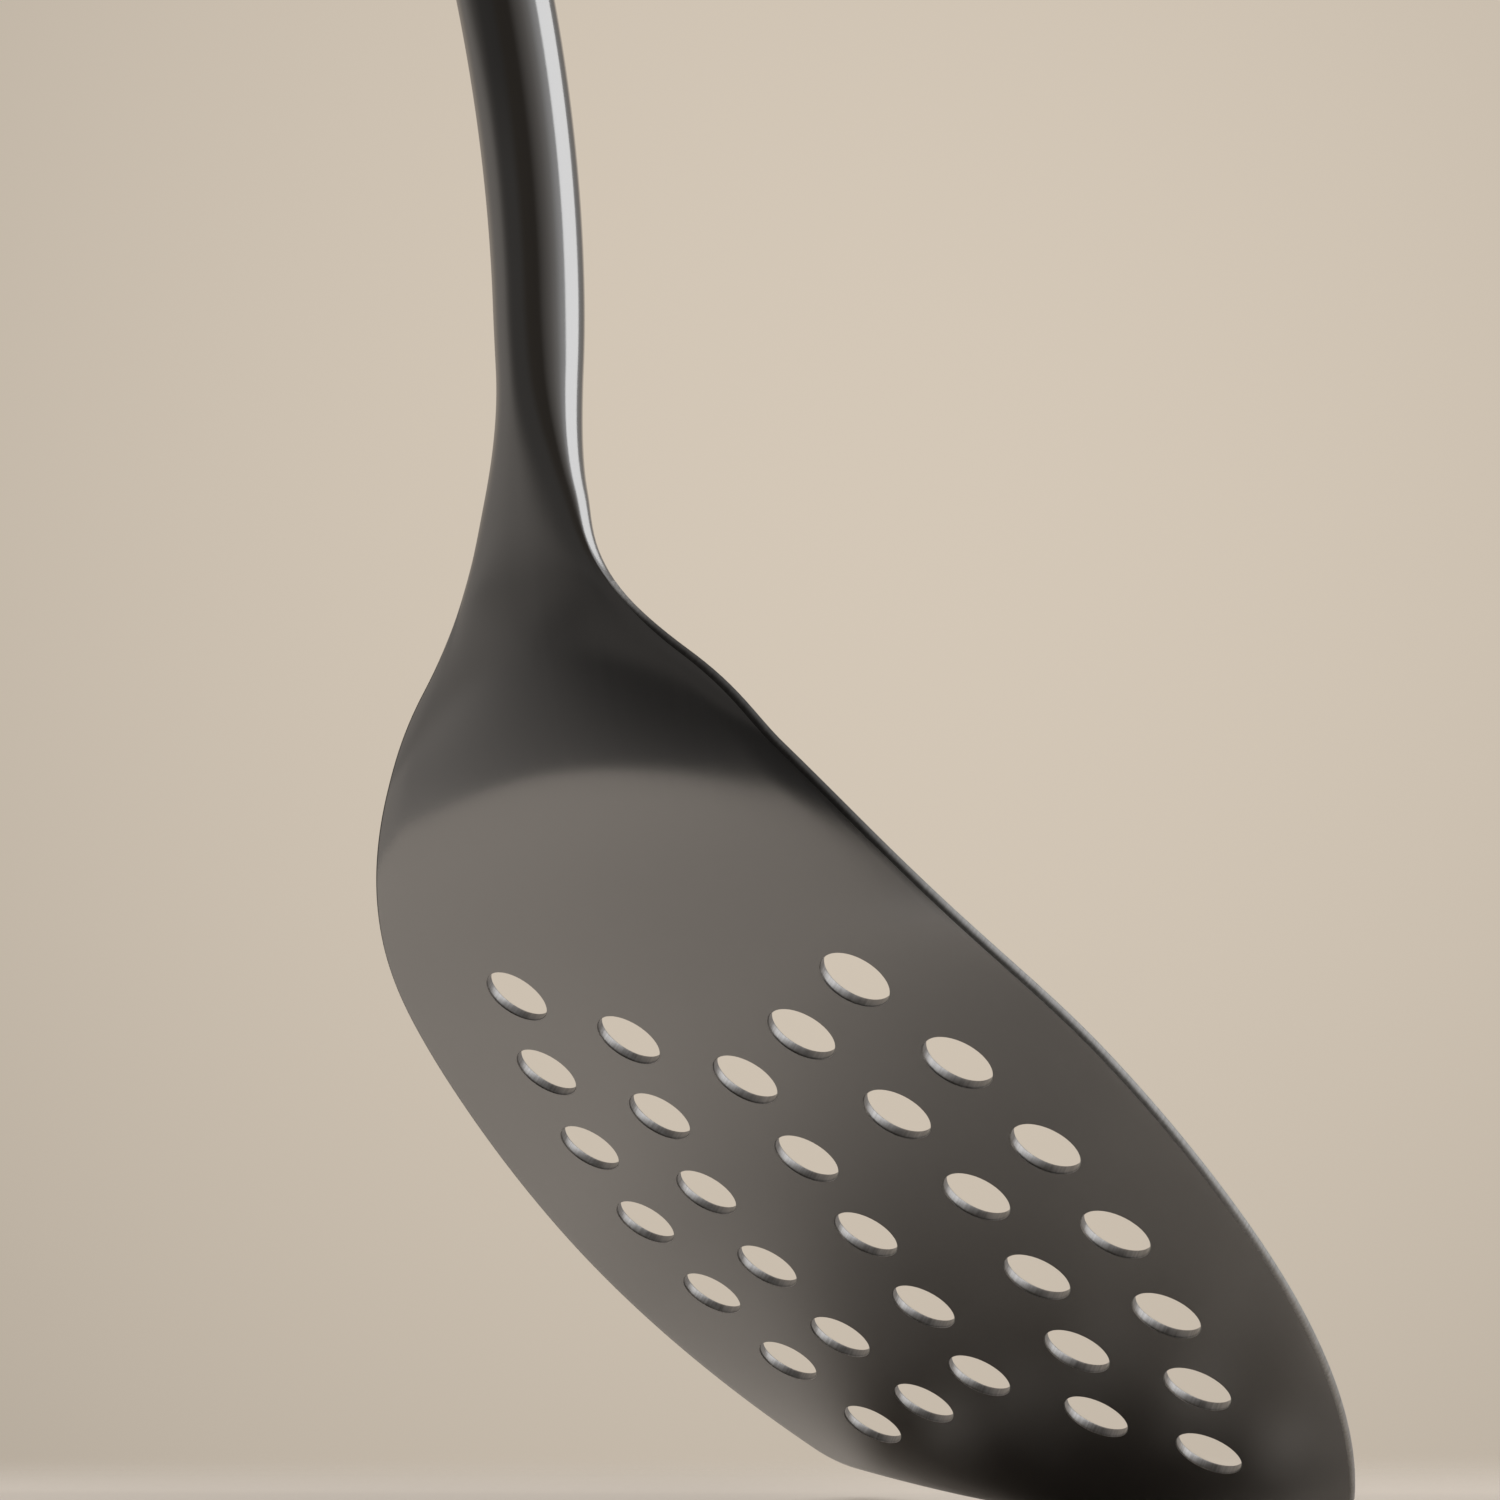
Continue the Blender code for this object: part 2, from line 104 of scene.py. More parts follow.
# Line from the middle hole up to the end of the handle
BEND_START = 35.0 * MM
BEND_RADIUS = 59.4 * MM
BEND_ANGLE = math.radians(54.3)
NECK_ARC_RADIUS = 126.8 * MM
NECK_TURN = math.radians(24.3)
HANDLE_ARC_RADIUS = 600.0 * MM
HANDLE_LENGTH = 157.0 * MM
BEND_EASE = 14.0 * MM

# Neck
FLARE_RADIUS = 37.7 * MM
NECK_DIAMETER = 8.6 * MM
NECK_END_DIAMETER = 9.3 * MM
WELD_PAN_DEPTH = 0.6 * MM
WELD_FOOD_DEPTH = 3.1 * MM
WELD_SQUARENESS = 3.8
DRAWN_RUN = 9.0 * MM
SWELL_RUN = 21.3 * MM
PAN_SIDE_LAG = 6.8 * MM
FLANK_TURN = math.radians(9)
FOOD_SIDE_BLEND = 1.4

# Handle and hanging end
HANDLE_WIDTH = 18.0 * MM
HANDLE_THICKNESS = 12.0 * MM
SWELL_LENGTH = 100.0 * MM
SHELL_WALL = 1.0 * MM
SEAM_ROUND = 0.16 * MM
END_LENGTH = 40.0 * MM
NOSE_LENGTH = 9.0 * MM
NOSE_TURN = math.radians(88)
SLOT_WIDTH = 8.0 * MM
SLOT_LENGTH = 16.0 * MM
SLOT_TO_END = 5.0 * MM
SLOT_ROUND = 0.6 * MM
SLOT_MOUTH_RISE, SLOT_MOUTH_OUT = 2 * SLOT_ROUND, 3.4 * SLOT_ROUND
FLAT_THICKNESS = 6.0 * MM
FLAT_MARGIN = 3.0 * MM
FLAT_RUNOUT_RADIUS = 10.0 * MM
FLAT_EASE = 0.8 * MM

# Fineness
LINE_STEP = 0.25 * MM
CORNER_SAMPLES, SIDE_SAMPLES, REAR_SAMPLES, FRONT_SAMPLES = 24, 200, 80, 160
ACROSS_STEPS = 72
BLADE_ROWS = 110
RIM_TURNS = (30, 60, 90)
HOLE_SIDES = 48
PUNCH_TURNS = (50, 25, 0)
PUNCH_MOUTH = 2.0
MERGE_DISTANCE = 0.001 * MM
FLARE_ROWS = 44
FLARE_RIM_ROWS = 9
STEM_ROWS = 44
SHELL_ROWS = 70
SHELL_SIDES = 56
END_ROWS = 64
NOSE_ROWS = 26
END_SIDES = 128
SLOT_TURNS = (55, 40, 25, 12, 0)
SLOT_END_POINTS = 33
SMOOTH_ANGLE = math.radians(35)
SAME_SIDE = 0.5  # least agreement with a borrowed normal

# Places along the line
BEND_END = BEND_START + BEND_RADIUS * BEND_ANGLE
JOINT_S = BEND_END + NECK_ARC_RADIUS * NECK_TURN
TIP_S = JOINT_S + HANDLE_LENGTH
PLUG_S = TIP_S - END_LENGTH
SLOT_S = TIP_S - SLOT_TO_END - SLOT_LENGTH / 2

# Camera, from the photograph's perspective
CAMERA_AIM = Vector((-0.01022, 0.09215, -0.21332))
CAMERA_AZIMUTH = math.radians(42.584)
CAMERA_ELEVATION = math.radians(-3.502)
CAMERA_ROLL = math.radians(-3.823)
CAMERA_DISTANCE = 0.31
CAMERA_LENS = 70.04
SENSOR_WIDTH = 36.0
NEAREST_SEEN = 0.01

# Map for the brushing: its name, and how much a place across an end face counts in it
LENGTHWISE = "lengthwise"
END_FACE_SHARE = 1e-3


def ease(t):
    """Smooth step from 0 to 1."""
    t = min(max(t, 0.0), 1.0)
    return t * t * (3 - 2 * t)


def mix(a, b, t):
    return a + (b - a) * t


def spread(start, end, count):
    """Evenly spaced values, both ends included."""
    return [mix(start, end, k / (count - 1)) for k in range(count)]


def upright_pose():
    """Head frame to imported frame, read from the face that rests on the pan."""
    face = next(m for m in frame["record"]["mounts"] if m["name"] == "pan_face")
    food = -Vector(face["axis"])
    across = Vector((1, 0, 0))
    forward = food.cross(across)
    middle = Vector(face["pos_m"]) - forward * MIDDLE_PITCH / 2
    turn = Matrix((across, forward, food)).transposed().to_4x4()
    return Matrix.Translation(middle) @ turn


UPRIGHT = upright_pose()


def bend_at(s):
    """Bend of the line, each change of bend eased in over a short length."""
    total, before = 0.0, 0.0
    for start, bend in (
        (BEND_START, 1 / BEND_RADIUS),
        (BEND_END, -1 / NECK_ARC_RADIUS),
        (JOINT_S, -1 / HANDLE_ARC_RADIUS),
    ):
        total += (bend - before) * ease((s - start) / BEND_EASE + 0.5)
        before = bend
    return total


def draw_line():
    """Table of the centre line: distance, place, height and slope."""
    rows = [(0.0, 0.0, SHEET / 2, 0.0)]
    while rows[-1][0] < TIP_S + LINE_STEP:
        s, y, z, slope = rows[-1]
        turn = bend_at(s + LINE_STEP / 2) * LINE_STEP
        rows.append((
            s + LINE_STEP,
            y - LINE_STEP * math.cos(slope + turn / 2),
            z + LINE_STEP * math.sin(slope + turn / 2),
            slope + turn,
        ))
    return np.array(rows).T


LINE = draw_line()


def centre_line(s):
    """Place, height and slope of the centre line at a distance s behind the middle hole."""
    if s <= 0:
        return -s, SHEET / 2, 0.0
    return tuple(float(np.interp(s, LINE[0], column)) for column in LINE[1:])


def dish(s, x):
    """Slight hollow of the pressed blade, its edges raised to the food side, gone at the heel."""
    flatter = 1 - DISH_FLATTENING * min(x / HALF_WIDTH, 1.0) ** 2
    across = x * x * flatter * (1 - ease((s - DISH_FADE_START) / DISH_FADE_RUN))
    along = s * s * (1 - ease((s - LONG_DISH_FADE_START) / LONG_DISH_FADE_RUN)) * LONG_DISH_SHARE
    return (across + along) / (2 * DISH_RADIUS)


def waist(s):
    """Change of the outline where the shoulder turns into the neck: fuller before, slimmer after."""
    t = (s - WAIST_S) / WAIST_REACH
    return -WAIST_DEPTH * t * (1 - t * t) ** 2 if abs(t) < 1 else 0.0


def half_width_at(s):
    """Half width of the flat blank behind its widest line, and of the neck's flare."""
    if s < REAR_SIDE_RADIUS * math.sin(SHOULDER_TURN):
        return REAR_CENTRE_X + math.sqrt(REAR_SIDE_RADIUS ** 2 - s * s)
    if s < WELD_S:
        arc = SHOULDER_CENTRE_X + math.sqrt(SHOULDER_RADIUS ** 2 - (s - SHOULDER_CENTRE_S) ** 2)
    else:
        arc = FLARE_CENTRE_X - math.sqrt(FLARE_RADIUS ** 2 - max(ROUND_S - s, 0.0) ** 2)
    return arc + waist(s)


def curl(s, x):
    """How far the heel's and the shoulder's edges turn to the food side."""
    if s <= 0:
        return 0.0
    across = min(abs(x) / half_width_at(s), 1.0)
    outermost = max(across - HEEL_CURL_FROM, 0.0) / (1 - HEEL_CURL_FROM)
    along = ease((s - HEEL_CURL_START) / HEEL_CURL_RUN)
    along *= 1 - ease((s - HEEL_UNCURL_START) / HEEL_UNCURL_RUN)
    return WAIST_CURL * waist(s) * across ** 2 + HEEL_CURL * along * outermost ** 2


def belly(s, x):
    """How far the heel swells towards the pan side, most in its middle."""
    if s < BELLY_START:
        return 0.0
    across = min(abs(x) / half_width_at(s), 1.0)
    return BELLY_DEPTH * ease((s - BELLY_START) / (BELLY_FULL - BELLY_START)) * (1 - across ** 2)


def beside(s, x, rise):
    """A point at x across the tool and a rise towards the food side from the centre line."""
    y, z, slope = centre_line(s)
    return Vector((x, y + rise * math.sin(slope), z + rise * math.cos(slope)))


def on_sheet(s, x, rise):
    """A point of the pressed blade."""
    return beside(s, x, rise + dish(s, x) - belly(s, x) + curl(s, x))


def arc_places(centre, radius, start, end, count):
    """Points along an arc, each with its outward normal."""
    normals = [Vector((math.cos(a), math.sin(a))) for a in spread(start, end, count)]
    return [(Vector(centre) + radius * n, n) for n in normals]


def column_of_holes(apex, arc_radius, pitch, count, setback):
    """Centres of one column of holes, evenly spaced along an arc that bulges to +X."""
    turns = [(k - (count - 1) / 2) * pitch / arc_radius for k in range(count)]
    return [
        Vector((apex - arc_radius * (1 - math.cos(t)), arc_radius * math.sin(t) - setback)) for t in turns
    ]


def hole_centres():
    """Centres of all the holes on the flat blank."""
    right = column_of_holes(*INNER_COLUMN) + column_of_holes(*OUTER_COLUMN)
    middle = [Vector((0, (k - (MIDDLE_COUNT - 1) / 2) * MIDDLE_PITCH)) for k in range(MIDDLE_COUNT)]
    return middle + right + [Vector((-c.x, c.y)) for c in right]


HOLES = hole_centres()
HALF_WIDTH = max(c.x for c in HOLES) + HOLE_DIAMETER / 2 + SIDE_RIM
FRONT_REACH = max(c.y for c in HOLES) + HOLE_DIAMETER / 2 + FRONT_RIM
REAR_CENTRE_X = HALF_WIDTH - REAR_SIDE_RADIUS
SHOULDER_CENTRE_X = REAR_CENTRE_X + (REAR_SIDE_RADIUS - SHOULDER_RADIUS) * math.cos(SHOULDER_TURN)
SHOULDER_CENTRE_S = (REAR_SIDE_RADIUS - SHOULDER_RADIUS) * math.sin(SHOULDER_TURN)
FLARE_CENTRE_X = NECK_DIAMETER / 2 + FLARE_RADIUS
CENTRES_APART = SHOULDER_RADIUS + FLARE_RADIUS
ROUND_S = SHOULDER_CENTRE_S + math.sqrt(CENTRES_APART ** 2 - (FLARE_CENTRE_X - SHOULDER_CENTRE_X) ** 2)
WELD_S = mix(SHOULDER_CENTRE_S, ROUND_S, SHOULDER_RADIUS / CENTRES_APART)
WELD_HALF_WIDTH = half_width_at(WELD_S)
PAN_SIDE_ROUND_S = ROUND_S + PAN_SIDE_LAG


def ridge(s, x):
    """Extra rise of the heel's food side."""
    along = ease((s - RIDGE_START) / (WELD_S - RIDGE_START))
    across = min(abs(x) / WELD_HALF_WIDTH, 1.0)
    return RIDGE_RISE * along * (1 - across ** 2) ** 2


def resample(places, count):
    """The same curve at evenly spaced points, with unit normals."""
    points = np.array([p for p, n in places])
    normals = np.array([n for p, n in places])
    length = np.concatenate([[0.0], np.cumsum(np.linalg.norm(np.diff(points, axis=0), axis=1))])
    at = np.linspace(0.0, length[-1], count)
    points, normals = (
        np.stack([np.interp(at, length, v[:, k]) for k in (0, 1)], axis=1) for v in (points, normals)
    )
    return points, normals / np.linalg.norm(normals, axis=1)[:, None]


def blade_edges():
    """Right side and front edge of the flat blank, which part in the middle of the rounded corner."""
    rear, side = Vector((REAR_CENTRE_X, 0)), Vector((HALF_WIDTH - FRONT_SIDE_RADIUS, 0))
    front = Vector((0, FRONT_REACH - FRONT_EDGE_RADIUS))
    to_side, to_front = FRONT_SIDE_RADIUS - CORNER_RADIUS, FRONT_EDGE_RADIUS - CORNER_RADIUS
    apart = front - side
    along = (to_side ** 2 - to_front ** 2 + apart.length_squared) / (2 * apart.length)
    out = Vector((-apart.y, apart.x)).normalized() * math.sqrt(to_side ** 2 - along ** 2)
    foot = side + apart.normalized() * along
    corner = max((foot + out, foot - out), key=lambda p: p.x)
    start, end = (math.atan2(*(corner - c).yx) for c in (side, front))
    turned = (start + end) / 2
    right = arc_places(corner, CORNER_RADIUS, turned, start, CORNER_SAMPLES)
    right += arc_places(side, FRONT_SIDE_RADIUS, start, 0.0, SIDE_SAMPLES)[1:]
    shoulder = Vector((SHOULDER_CENTRE_X, -SHOULDER_CENTRE_S))
    weld_turn = math.asin((WELD_S - SHOULDER_CENTRE_S) / SHOULDER_RADIUS)
    right += arc_places(rear, REAR_SIDE_RADIUS, 0.0, -SHOULDER_TURN, REAR_SAMPLES)[1:]
    arc = arc_places(shoulder, SHOULDER_RADIUS, -SHOULDER_TURN, -weld_turn, SIDE_SAMPLES)
    right += [(place + Vector((waist(-place.y), 0)), out) for place, out in arc[1:]]
    half = arc_places(corner, CORNER_RADIUS, turned, end, CORNER_SAMPLES)
    half += arc_places(front, FRONT_EDGE_RADIUS, end, math.pi / 2, FRONT_SAMPLES)[1:]
    whole = [(Vector((-p.x, p.y)), Vector((-n.x, n.y))) for p, n in half] + half[-2::-1]
    return resample(right, BLADE_ROWS + 1), resample(whole, ACROSS_STEPS + 1)


def rim_profile():
    """Inset, as a share of the rounding, and rise of points round the sheet's edge, pan side first."""
    lower = [(1 - math.sin(t), EDGE_ROUND * (1 - math.cos(t))) for t in map(math.radians, RIM_TURNS)]
    return [(inset, up - SHEET / 2) for inset, up in lower] + [
        (inset, SHEET / 2 - up) for inset, up in reversed(lower)
    ]


class Skin:
    """Points and faces of one surface while it is drawn."""

    def __init__(self):
        self.points, self.faces = [], []

    def add(self, point):
        self.points.append(point)
        return len(self.points) - 1

    def strip(self, low, high, closed=False):
        """Row of four-sided faces between two equally long rows of points."""
        last = len(low) if closed else len(low) - 1
        for k in range(last):
            after = (k + 1) % len(low)
            self.faces.append((low[k], low[after], high[after], high[k]))

    def normals(self):
        """Normal at each point, large faces counting for more."""
        places = np.array(self.points)
        total = np.zeros_like(places)
        for face in self.faces:
            a, b, c, d = (places[k] for k in face)
            across = np.cross(c - a, d - b)
            for k in face:
                total[k] += across
        return total / np.maximum(np.linalg.norm(total, axis=1), 1e-20)[:, None]


def draw_blade(skin):
    """Pressed sheet with its rounded edge. Returns the ring at the weld and the edge's first face."""
    (side, side_out), (front, front_out) = blade_edges()
    inset_side = []
    for k, out in enumerate(side_out):
        square_to_weld = ease(2.0 * k / BLADE_ROWS - 0.5)
        inset_side.append(EDGE_ROUND * mix(out, np.array((1 / out[0], 0.0)), square_to_weld))
    inset_side = np.array(inset_side)
    right = side - inset_side
    left = right * (-1, 1)
    nose = front - EDGE_ROUND * front_out
    weld = np.stack([np.linspace(left[-1][0], right[-1][0], ACROSS_STEPS + 1),
                     np.full(ACROSS_STEPS + 1, -WELD_S)], axis=1)
    below, above = [], []
    for i in range(BLADE_ROWS + 1):
        b = i / BLADE_ROWS
        low, high = [], []
        for j in range(ACROSS_STEPS + 1):
            a = j / ACROSS_STEPS
            x, y = (
                mix(nose[j], weld[j], b) + mix(left[i], right[i], a)
                - mix(mix(nose[0], nose[-1], a), mix(weld[0], weld[-1], a), b)
            )
            low.append(skin.add(on_sheet(-y, x, -SHEET / 2)))
            high.append(skin.add(on_sheet(-y, x, SHEET / 2 + ridge(-y, x))))
        below.append(low)
        above.append(high)
    for i in range(BLADE_ROWS):
        skin.strip(below[i], below[i + 1])
        skin.strip(above[i + 1], above[i])

    def rim(place, inset):
        x, y = place
        return [
            skin.add(on_sheet(-(y - part * inset[1]), x - part * inset[0], rise))
            for part, rise in rim_profile()
        ]

    first_rim_face = len(skin.faces)
    nose_rims = [rim(p, EDGE_ROUND * n) for p, n in zip(front, front_out)]
    behind = list(zip(side[1:], inset_side[1:]))
    right_rims = [nose_rims[-1]] + [rim(p, d) for p, d in behind]
    left_rims = [nose_rims[0]] + [rim(p * (-1, 1), d * (-1, 1)) for p, d in behind]

    def around(i, j, rims):
        return [below[i][j], *rims, above[i][j]]

    for j in range(ACROSS_STEPS):
        skin.strip(around(0, j, nose_rims[j]), around(0, j + 1, nose_rims[j + 1]))
    for i in range(BLADE_ROWS):
        last = ACROSS_STEPS
        skin.strip(around(i, last, right_rims[i]), around(i + 1, last, right_rims[i + 1]))
        skin.strip(around(i + 1, 0, left_rims[i + 1]), around(i, 0, left_rims[i]))
    return below[-1] + right_rims[-1] + above[-1][::-1] + left_rims[-1][::-1], first_rim_face


def flat_section(s, half_width):
    """Points round the heel's flat section, pan side first, in (x, rise)."""
    lean = math.sqrt(1 - (max(ROUND_S - s, 0.0) / FLARE_RADIUS) ** 2)
    inset = EDGE_ROUND / lean
    across = spread(-(half_width - inset), half_width - inset, ACROSS_STEPS + 1)
    scale = WELD_HALF_WIDTH / half_width
    below = [(x, -SHEET / 2) for x in across]
    above = [(x, SHEET / 2 + ridge(WELD_S, x * scale)) for x in across]
    rim = [(half_width - part * inset, rise) for part, rise in rim_profile()]
    points = below + rim + above[::-1] + [(-x, rise) for x, rise in rim[::-1]]
    return [(x, rise - belly(s, x) + curl(s, x)) for x, rise in points]


def section_turns():
    """Turns of the points round the stem, in the same order as round the flat section."""
    steps = 2 * len(RIM_TURNS) + 2
    turns = spread(math.pi + FLANK_TURN, 2 * math.pi - FLANK_TURN, ACROSS_STEPS + 1)
    turns += spread(-FLANK_TURN, FLANK_TURN, steps)[1:-1]
    turns += spread(FLANK_TURN, math.pi - FLANK_TURN, ACROSS_STEPS + 1)
    return turns + spread(math.pi - FLANK_TURN, math.pi + FLANK_TURN, steps)[1:-1]


def neck_section(s):
    """Points round the neck: flat at the weld, soon full on the food side, last on the pan side."""
    radius = stem_radius(max(s, ROUND_S))
    half_width = half_width_at(s) if s < ROUND_S else radius

    def done(run):
        return ease((s - WELD_S) / run)

    whole_run = PAN_SIDE_ROUND_S - WELD_S
    pan_depth = mix(WELD_PAN_DEPTH, radius, done(whole_run))
    food_depth = mix(WELD_FOOD_DEPTH, radius, done(whole_run))
    squareness = mix(WELD_SQUARENESS, 2.0, done(ROUND_S - WELD_S))
    swell = BELLY_DEPTH * (1 - done(SWELL_RUN))
    points = []
    for (flat_x, flat_rise), turn in zip(flat_section(s, half_width), section_turns()):
        cos, sin = math.cos(turn), math.sin(turn)
        food_side = ease(0.5 + FOOD_SIDE_BLEND * sin)
        power = 2 / mix(squareness, 2.0, food_side)
        x = half_width * math.copysign(abs(cos) ** power, cos)
        rise = mix(pan_depth, food_depth, food_side) * math.copysign(abs(sin) ** power, sin)
        rise += curl(s, x) - swell * (1 - (x / half_width) ** 2)
        points.append((mix(flat_x, x, done(DRAWN_RUN)), mix(flat_rise, rise, done(DRAWN_RUN))))
    return points


def draw_neck(skin, weld_ring):
    """Flare from the weld into the round stem, up to the handle. Returns its last ring."""
    ring = weld_ring
    stations = spread(WELD_S, PAN_SIDE_ROUND_S, FLARE_ROWS + 1)[1:]
    stations += spread(PAN_SIDE_ROUND_S, JOINT_S - SEAM_ROUND, STEM_ROWS + 1)[1:]
    for s in stations:
        ring = next_ring(skin, ring, s, neck_section(s))
    for turn in map(math.radians, RIM_TURNS):
        s = JOINT_S - SEAM_ROUND * (1 - math.sin(turn))
        eased = stem_radius(s) - SEAM_ROUND * (1 - math.cos(turn))
        section = [(eased * math.cos(t), eased * math.sin(t)) for t in section_turns()]
        ring = next_ring(skin, ring, s, section)
    return ring


def next_ring(skin, ring, s, section):
    """Add a ring of points at s and the faces up to it."""
    fresh = [skin.add(beside(s, x, rise)) for x, rise in section]
    skin.strip(ring, fresh, closed=True)
    return fresh


def stem_radius(s):
    along = (s - ROUND_S) / (JOINT_S - ROUND_S)
    return mix(NECK_END_DIAMETER, NECK_DIAMETER, (1 - along) ** 2) / 2


def handle_section(s):
    """Half width and half height of the handle's outside."""
    swell = ease((s - JOINT_S) / SWELL_LENGTH)
    start = NECK_END_DIAMETER / 2
    return mix(start, HANDLE_WIDTH / 2, swell), mix(start, HANDLE_THICKNESS / 2, swell)


def shade(mesh):
    mesh.shade_smooth()
    mesh.set_sharp_from_angle(angle=SMOOTH_ANGLE)


def closed_piece(name, points, faces, *steels):
    """Object of the faces and the points that they use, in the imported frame, faces outward."""
    used = sorted({k for face in faces for k in face})
    order = {k: n for n, k in enumerate(used)}
    mesh = bpy.data.meshes.new(name)
    mesh.from_pydata([UPRIGHT @ points[k] for k in used], [], [[order[k] for k in f] for f in faces])
    bm = bmesh.new()
    bm.from_mesh(mesh)
    bmesh.ops.recalc_face_normals(bm, faces=bm.faces)
    bm.to_mesh(mesh)
    bm.free()
    shade(mesh)
    for steel in steels:
        mesh.materials.append(steel)
    return piece(name, mesh)


def closed_tube(name, stations, section, steel):
    """Piece through the rings that section draws at the stations, each of which starts with its s."""
    skin = Skin()
    ring = [skin.add(beside(stations[0][0], x, rise)) for x, rise in section(*stations[0])]
    first = tuple(ring)
    for station in stations[1:]:
        ring = next_ring(skin, ring, station[0], section(*station))
    return closed_piece(name, skin.points, skin.faces + [first, tuple(ring)], steel)


def piece(name, data):
    obj = bpy.data.objects.new(name, data)
    bpy.context.scene.collection.objects.link(obj)
    return obj


def as_plain_mesh(obj):
    """Turn an object's modifiers into its own mesh."""
    graph = bpy.context.evaluated_depsgraph_get()
    mesh = bpy.data.meshes.new_from_object(obj.evaluated_get(graph))
    old = obj.data
    obj.modifiers.clear()
    obj.data = mesh
    bpy.data.meshes.remove(old)
    mesh.name = obj.name
    shade(mesh)


def lay_lengthwise(obj, round_about=None):
    """UV map that follows the tool: across or round it, and along its line."""
    mesh = obj.data
    inverse = UPRIGHT.inverted()
    distances, line_y, line_z, slopes = LINE
    layer = mesh.uv_layers.new(name=LENGTHWISE)
    spots = np.empty((len(mesh.vertices), 2))
    for vert in mesh.vertices:
        x, y, z = inverse @ vert.co
        s, rise, across = -y, z - SHEET / 2, x
        if y < 0:
            near = int(np.argmin((line_y - y) ** 2 + (line_z - z) ** 2))
            cos, sin = math.cos(slopes[near]), math.sin(slopes[near])
            dy, dz = y - line_y[near], z - line_z[near]
            s, rise = distances[near] - dy * cos + dz * sin, dy * sin + dz * cos
        if round_about is not None:
            across = round_about * math.atan2(rise, x) + x * END_FACE_SHARE
        spots[vert.index] = across, s
    corners = np.empty(len(mesh.loops), dtype=np.int64)
    mesh.loops.foreach_get("vertex_index", corners)
    layer.uv.foreach_set("vector", spots[corners].ravel())


class Nodes:
    """Short ways to add nodes to a node tree."""

    def __init__(self, tree):
        self.nodes, self.links = tree.nodes, tree.links

    def feed(self, socket, source):
        if isinstance(source, bpy.types.NodeSocket):
            self.links.new(source, socket)
        else:
            socket.default_value = source

    def add(self, kind, inputs=None, **settings):
        """A node with its settings, and with its inputs linked or set."""
        node = self.nodes.new(kind)
        for key, setting in settings.items():
            setattr(node, key, setting)
        for label, source in (inputs or {}).items():
            self.feed(node.inputs[label], source)
        return node

    def first(self, kind, inputs=None, **settings):
        """The first output of a new node."""
        return self.add(kind, inputs, **settings).outputs[0]

    def math(self, operation, *terms):
        return self.first("ShaderNodeMath", dict(enumerate(terms)), operation=operation)

    def vector(self, operation, *terms):
        return self.first("ShaderNodeVectorMath", dict(enumerate(terms)), operation=operation)

    def scaled(self, vector, scale):
        return self.first("ShaderNodeVectorMath", {0: vector, "Scale": scale}, operation="SCALE")

    def reach(self, place, direction):
        """How far a place lies in a direction."""
        node = self.add("ShaderNodeVectorMath", {0: place, 1: direction}, operation="DOT_PRODUCT")
        return node.outputs["Value"]

    def ramp(self, source, low, high, to_low, to_high):
        return self.first("ShaderNodeMapRange", {
            "Value": source, "From Min": low, "From Max": high, "To Min": to_low, "To Max": to_high,
        }, interpolation_type="SMOOTHSTEP")

    def blend(self, factor, a, b):
        """Colour between a and b."""
        node = self.add("ShaderNodeMix", {"Factor": factor, "A": a, "B": b}, data_type="RGBA")
        return node.outputs["Result"]


